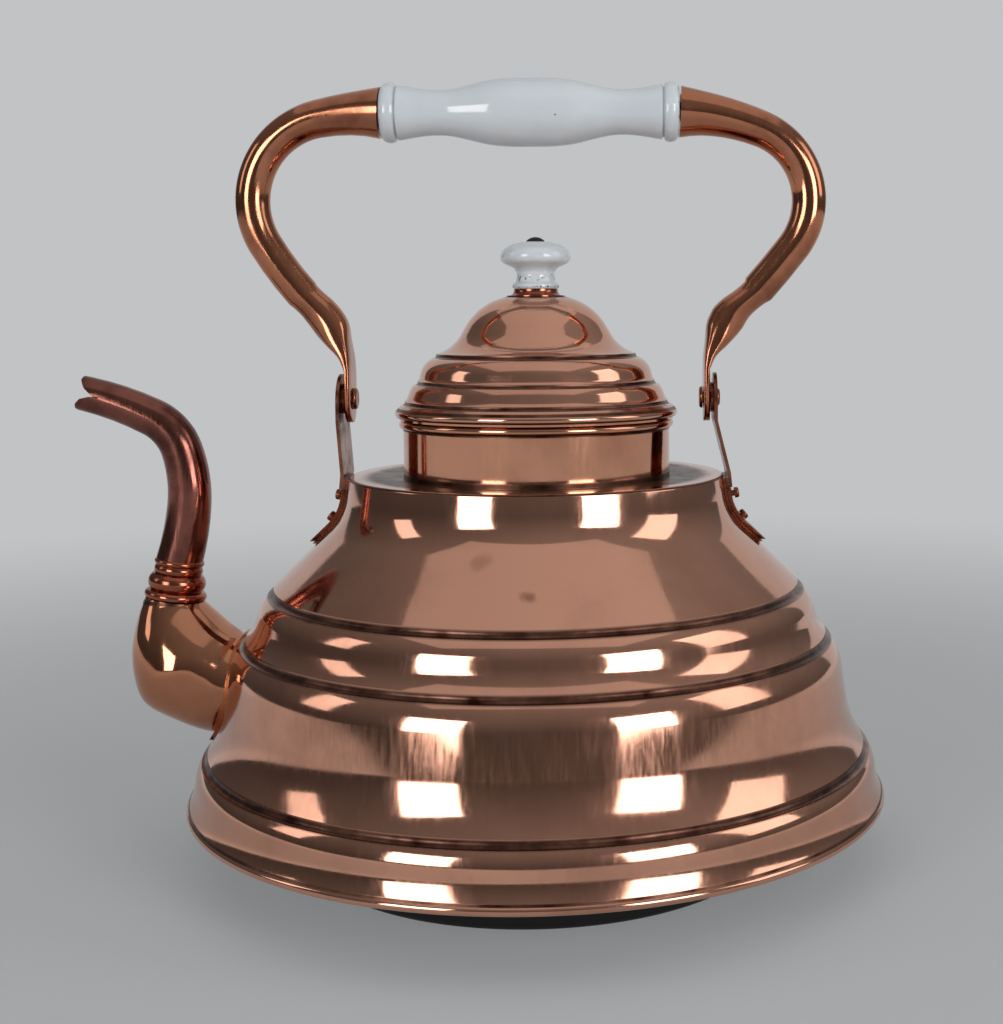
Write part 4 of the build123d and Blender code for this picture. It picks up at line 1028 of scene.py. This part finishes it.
@dataclass
class Bail:
    """The swinging handle: two flared copper arms and the porcelain grip between them."""

    middle: float = -1.7
    grip_height: float = 319.5
    pivot: float = 196.5
    arm_start: float = 64.5
    wide: float = 22.2
    narrow: float = 14.7
    flare_length: float = 18.0
    lug_thickness: float = 2.9
    lug_radius: float = 10.3
    lug_squareness: float = 4.5
    lug_parts: int = 10
    line_parts: int = 6
    arms: Sequence[Arm] = (
        Arm(Side.LEFT, 81.0, 1.7, ((115.0, -13.5), (36.0, -109.5), (151.0, -13.3))),
        Arm(Side.RIGHT, 73.8, -2.1, ((103.0, -20.0), (33.0, -105.7), (330.0, -6.1))),
    )
    flat_rings: Sequence[tuple[float, float, float, float]] = (
        (38.0, 12.6, 19.4, 14.9),
        (31.8, 7.9, 17.3, 16.0),
        (25.0, 4.5, 12.0, 17.4),
        (18.6, 1.5, 5.9, 19.0),
        (12.5, 0.0, 2.9, 20.2),
    )
    square_from: float = 18.0
    grip_belly: float = 14.7
    grip_line: Sequence[Point] = (
        (9.0, 14.6), (18.0, 13.7), (27.0, 11.6), (34.0, 10.1), (40.5, 9.7), (47.0, 10.2),
        (53.0, 11.2), (56.0, 11.7),
    )
    grip_end: Sequence[Point] = (
        (56.7, 11.75), (57.0, 10.9), (57.5, 10.9), (57.9, 12.2), (58.9, 12.75), (60.2, 12.9),
        (61.6, 12.75), (62.7, 12.2), (63.6, 11.3), (63.9, 10.8), (63.9, 4.5),
    )

    def arm_rings(self, arm: Arm) -> list[Ring]:
        """Gives the rings of one arm as if it were on the right.

        Args:
            arm: Which arm.

        Returns:
            The rings from the grip down to the lug's rounded end.
        """
        start = (self.arm_start + arm.side.value * self.middle, self.grip_height)
        rings = []
        for place, heading, walked in Bends(start, arm.heading, arm.arcs).walk():
            width = self.narrow + (self.wide - self.narrow) * math.exp(-walked / self.flare_length)
            rings.append(Ring(place, heading, width, width))
        rings.pop()
        keys = [
            (ring.place.x, ring.place.z, ring.across / -ring.heading.z, ring.deep, 2.0) for ring in rings[-2:]
        ]
        for height, outwards, thick, broad in self.flat_rings:
            square = 2.0 + (self.lug_squareness - 2.0) * max(0.0, 1 - thick / self.square_from)
            keys.append((arm.lug_place + outwards, self.pivot + height, thick, broad, square))
        line = smooth_line([Vector(key) for key in keys], self.line_parts)[self.line_parts :]
        for (x, z, thick, broad, square), beyond in zip(line[1:], [*line[2:], line[-1]]):
            heading = Vector((beyond[0] - x, 0, beyond[1] - z - 0.01)).normalized()
            rings.append(Ring(Vector((x, 0, z)), heading, thick * -heading.z, broad, square))
        for step in range(self.lug_parts):
            drop = self.lug_radius * math.sin(math.pi / 2 * step / self.lug_parts)
            broad = 2 * math.sqrt(self.lug_radius**2 - drop**2)
            place = Vector((arm.lug_place, 0, self.pivot - drop))
            rings.append(Ring(place, Vector((0, 0, -1)), self.lug_thickness, broad, self.lug_squareness))
        return rings

    def build_arm(self, arm: Arm) -> None:
        """Bridges one arm, and mirrors it where it belongs on the left."""
        piece = tube(self.arm_rings(arm), 64, capped=True)
        if arm.side is Side.LEFT:
            bmesh.ops.scale(piece, vec=(-1, 1, 1), verts=piece.verts)
        name = f"arm_{arm.side.word}"
        finished_piece(piece, name, Body.BAIL, ARM_COPPER, [f"bail_{name}"])

    def build_grip(self) -> None:
        """Spins the grip with its grooves and end beads, and lays it along X."""
        belly = [(radius, along) for along, radius in self.grip_line]
        end = [(radius, along) for along, radius in self.grip_end]
        right = Outline((self.grip_belly, 0.0)).curve(*belly).line(*end)
        mirrored = [Vector((point.x, -point.y)) for point in reversed(right.points[1:])]
        right.points = mirrored + right.points
        lie = Matrix.Translation((self.middle * MM, 0, self.grip_height * MM))
        lie = lie @ Matrix.Rotation(math.pi / 2, 4, "Y")
        piece = spun(right, 128, closed=True, lie=lie)
        finished_piece(piece, "grip_body", Body.BAIL, GRIP_PORCELAIN, ["grip"])

    def build(self) -> None:
        """Builds the whole bail."""
        for arm in self.arms:
            self.build_arm(arm)
        self.build_grip()


@dataclass
class Fittings:
    """The pieces that keep their CAD shape: straps, rivets, washers, wires, nut and plugs."""

    straps: Sequence[str] = ("ear_left", "ear_right", "ear_backing_left", "ear_backing_right")
    rivets: Sequence[str] = (
        "ear_rivets_upper",
        "ear_rivets_lower",
        "pivot_rivets",
        "pivot_washers",
        "arm_plug_left",
        "arm_plug_right",
    )
    solder: Sequence[str] = ("spout_collar",)
    iron: Sequence[str] = ("rim_wire", "neck_wire", "lid_wire", "grip_rod")
    steel: Sequence[str] = ("knob_washer", "knob_nut")

    def dress(self) -> None:
        """Gives each CAD node its finish."""
        groups = (
            (self.straps, EAR_COPPER),
            (self.rivets, RIVET_COPPER),
            (self.solder, SOLDER_COPPER),
            (self.iron, IRON_WIRE),
            (self.steel, SCREW_STEEL),
        )
        for names, finish in groups:
            material = finish.material()
            for name in names:
                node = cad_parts[name]
                node.data.materials.clear()
                node.data.materials.append(material)
                log.info("%s: dressed in %s", name, finish.name)


@dataclass(frozen=True)
class Lamp:
    """A soft rectangular lamp: its place and size in metres, and its power in watts."""

    name: str
    place: Triple
    size: Point
    power: float


@dataclass
class Studio:
    """The floor, the backdrop, the lamps and the camera at the photograph's place."""

    camera_place: Triple = (39.3, -658.6, 231.3)
    yaw: float = -0.16
    pitch: float = 3.49
    roll: float = -0.28
    focal_px: float = 1514.7
    image_middle: Point = (631.3, 409.6)
    image_size: Point = (1003, 1024)
    colour: str = "#C1C3C5"
    wall_radius: float = 2400.0
    wall_bend: float = 1100.0
    wall_turn: float = 84.0
    wall_top: float = 3400.0
    floor_reach: float = 6.0
    shadow_reach: Point = (0.25, 1.2)
    shadow_share: float = 0.7
    floor_drop: float = 0.0004
    wall_steps: int = 64
    room_tone: Point = (0.09, 0.28)
    room_sides: Point = (0.7, 1.3)
    lamp_aim: Triple = (0.0, 0.0, 0.12)
    lamps: Sequence[Lamp] = (
        Lamp("window_left", (-1.15, -1.75, 0.62), (0.75, 0.95), 14.0),
        Lamp("window_right", (1.35, -1.6, 0.62), (0.8, 0.95), 16.0),
        Lamp("ceiling", (0.0, -0.1, 2.4), (3.0, 3.0), 8.0),
        Lamp("side_right", (2.0, -0.3, 1.1), (0.9, 1.3), 6.0),
        Lamp("side_left", (-2.0, -0.3, 1.0), (0.5, 0.9), 2.0),
    )

    def pale(self) -> Material:
        """Makes the pale matt paint of the floor and the wall.

        Near the kettle it takes light and shadow, and further off it is plain to the camera and
        in reflections.
        """
        made, tree, shader = new_material("pale_matt_paint")
        colour = linear(self.colour)
        wire(tree, shader, {"Base Color": colour, "Roughness": 0.9, "Specular IOR Level": 0.1})
        seen = 0.0
        for kind in ("Is Camera Ray", "Is Glossy Ray", "Is Transmission Ray"):
            ray = add_node(tree, "LightPath", {}, kind)
            seen = add_node(tree, "Math", {0: seen, 1: ray}, operation="MAXIMUM")
        place = add_node(tree, "TexCoord", {}, "Object")
        away = add_node(tree, "VectorMath", {0: place}, "Value", operation="LENGTH")
        near, far = self.shadow_reach
        steps = {"Value": away, "From Min": near, "From Max": far, "To Min": 1 - self.shadow_share}
        plain = add_node(tree, "MapRange", steps, **SMOOTH)
        plain = add_node(tree, "Math", {0: plain, 1: seen}, operation="MULTIPLY")
        glow = add_node(tree, "Emission", {"Color": colour, "Strength": 1.0})
        mix = add_node(tree, "MixShader", {0: plain, 1: shader.outputs[0], 2: glow})
        wire(tree, tree.nodes["Material Output"], {0: mix})
        return made

    def build_floor(self) -> None:
        """Lays the floor and spins the wall that curves up from it behind the kettle."""
        ground = bmesh.new()
        bmesh.ops.create_grid(ground, x_segments=1, y_segments=1, size=self.floor_reach)
        bmesh.ops.translate(ground, vec=(0, 0, -self.floor_drop), verts=ground.verts)
        bend = Outline((self.wall_radius - self.wall_bend, 0.0))
        bend.arc((self.wall_radius, self.wall_bend), (1.0, 0.0), 24).line((self.wall_radius, self.wall_top))
        lie = Matrix.Translation((0, 0, -self.floor_drop))
        lie = lie @ Matrix.Rotation(math.radians((180 - self.wall_turn) / 2), 4, "Z")
        screen = spun(bend, self.wall_steps, lie=lie, degrees=self.wall_turn)
        paint = self.pale()
        for name, skin in (("floor", ground), ("wall", screen)):
            for face in skin.faces:
                face.smooth = True
            new_object(skin, name, paint)

    def light(self) -> None:
        """Sets a dim room that is paler above and to the right, and its soft lamps."""
        world = bpy.data.worlds.new("room")
        bpy.context.scene.world = world
        world.use_nodes = True
        tree = world.node_tree
        background = tree.nodes["Background"]
        direction = add_node(tree, "TexCoord", {}, "Generated")
        across = add_node(tree, "SeparateXYZ", {0: direction}, 0)
        height = add_node(tree, "SeparateXYZ", {0: direction}, 2)
        low, high = self.room_tone
        tone = add_node(tree, "MapRange", {"Value": height, "From Max": 0.9, "To Min": low, "To Max": high})
        left, right = self.room_sides
        steps = {"Value": across, "From Min": -0.8, "From Max": 0.8, "To Min": left, "To Max": right}
        side = add_node(tree, "MapRange", steps)
        tone = add_node(tree, "Math", {0: tone, 1: side}, operation="MULTIPLY")
        wire(tree, background, {"Strength": tone, "Color": (0.97, 0.985, 1, 1)})
        for lamp in self.lamps:
            light = bpy.data.lights.new(lamp.name, "AREA")
            light.shape = "RECTANGLE"
            light.size, light.size_y = lamp.size
            light.energy = lamp.power
            holder = bpy.data.objects.new(lamp.name, light)
            holder.location = lamp.place
            aim = Vector(self.lamp_aim) - Vector(lamp.place)
            holder.rotation_euler = aim.to_track_quat("-Z", "Y").to_euler()
            bpy.context.scene.collection.objects.link(holder)

    def stand_camera(self) -> None:
        """Stands the camera where the photograph was taken from."""
        yaw, pitch, roll = (math.radians(angle) for angle in (self.yaw, self.pitch, self.roll))
        ahead = Vector((-math.sin(yaw) * math.cos(pitch), math.cos(yaw) * math.cos(pitch), -math.sin(pitch)))
        flat = Vector((math.cos(yaw), math.sin(yaw), 0))
        top = flat.cross(ahead)
        right = math.cos(roll) * flat + math.sin(roll) * top
        up = -math.sin(roll) * flat + math.cos(roll) * top
        camera = bpy.data.cameras.new("camera")
        wide, tall = self.image_size
        long_side = max(wide, tall)
        camera.sensor_width = 36.0
        camera.lens = self.focal_px / long_side * camera.sensor_width
        camera.shift_x = (wide / 2 - self.image_middle[0]) / long_side
        camera.shift_y = (self.image_middle[1] - tall / 2) / long_side
        camera.clip_start = 0.05
        camera.clip_end = 40.0
        holder = bpy.data.objects.new("camera", camera)
        turn = Matrix((right, up, -ahead)).transposed().to_4x4()
        holder.matrix_world = Matrix.Translation(Vector(self.camera_place) * MM) @ turn
        bpy.context.scene.collection.objects.link(holder)
        bpy.context.scene.camera = holder

    def build(self) -> None:
        """Sets the whole studio."""
        bpy.context.scene.view_settings.view_transform = "Standard"
        self.stand_camera()
        self.build_floor()
        self.light()


def main() -> None:
    """Builds the kettle piece by piece."""
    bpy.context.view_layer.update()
    Studio().build()
    KettleBody().build()
    Spout().build()
    Lid().build()
    Bail().build()
    Fittings().dress()
    bpy.context.view_layer.update()


if __name__ == "__main__":
    main()
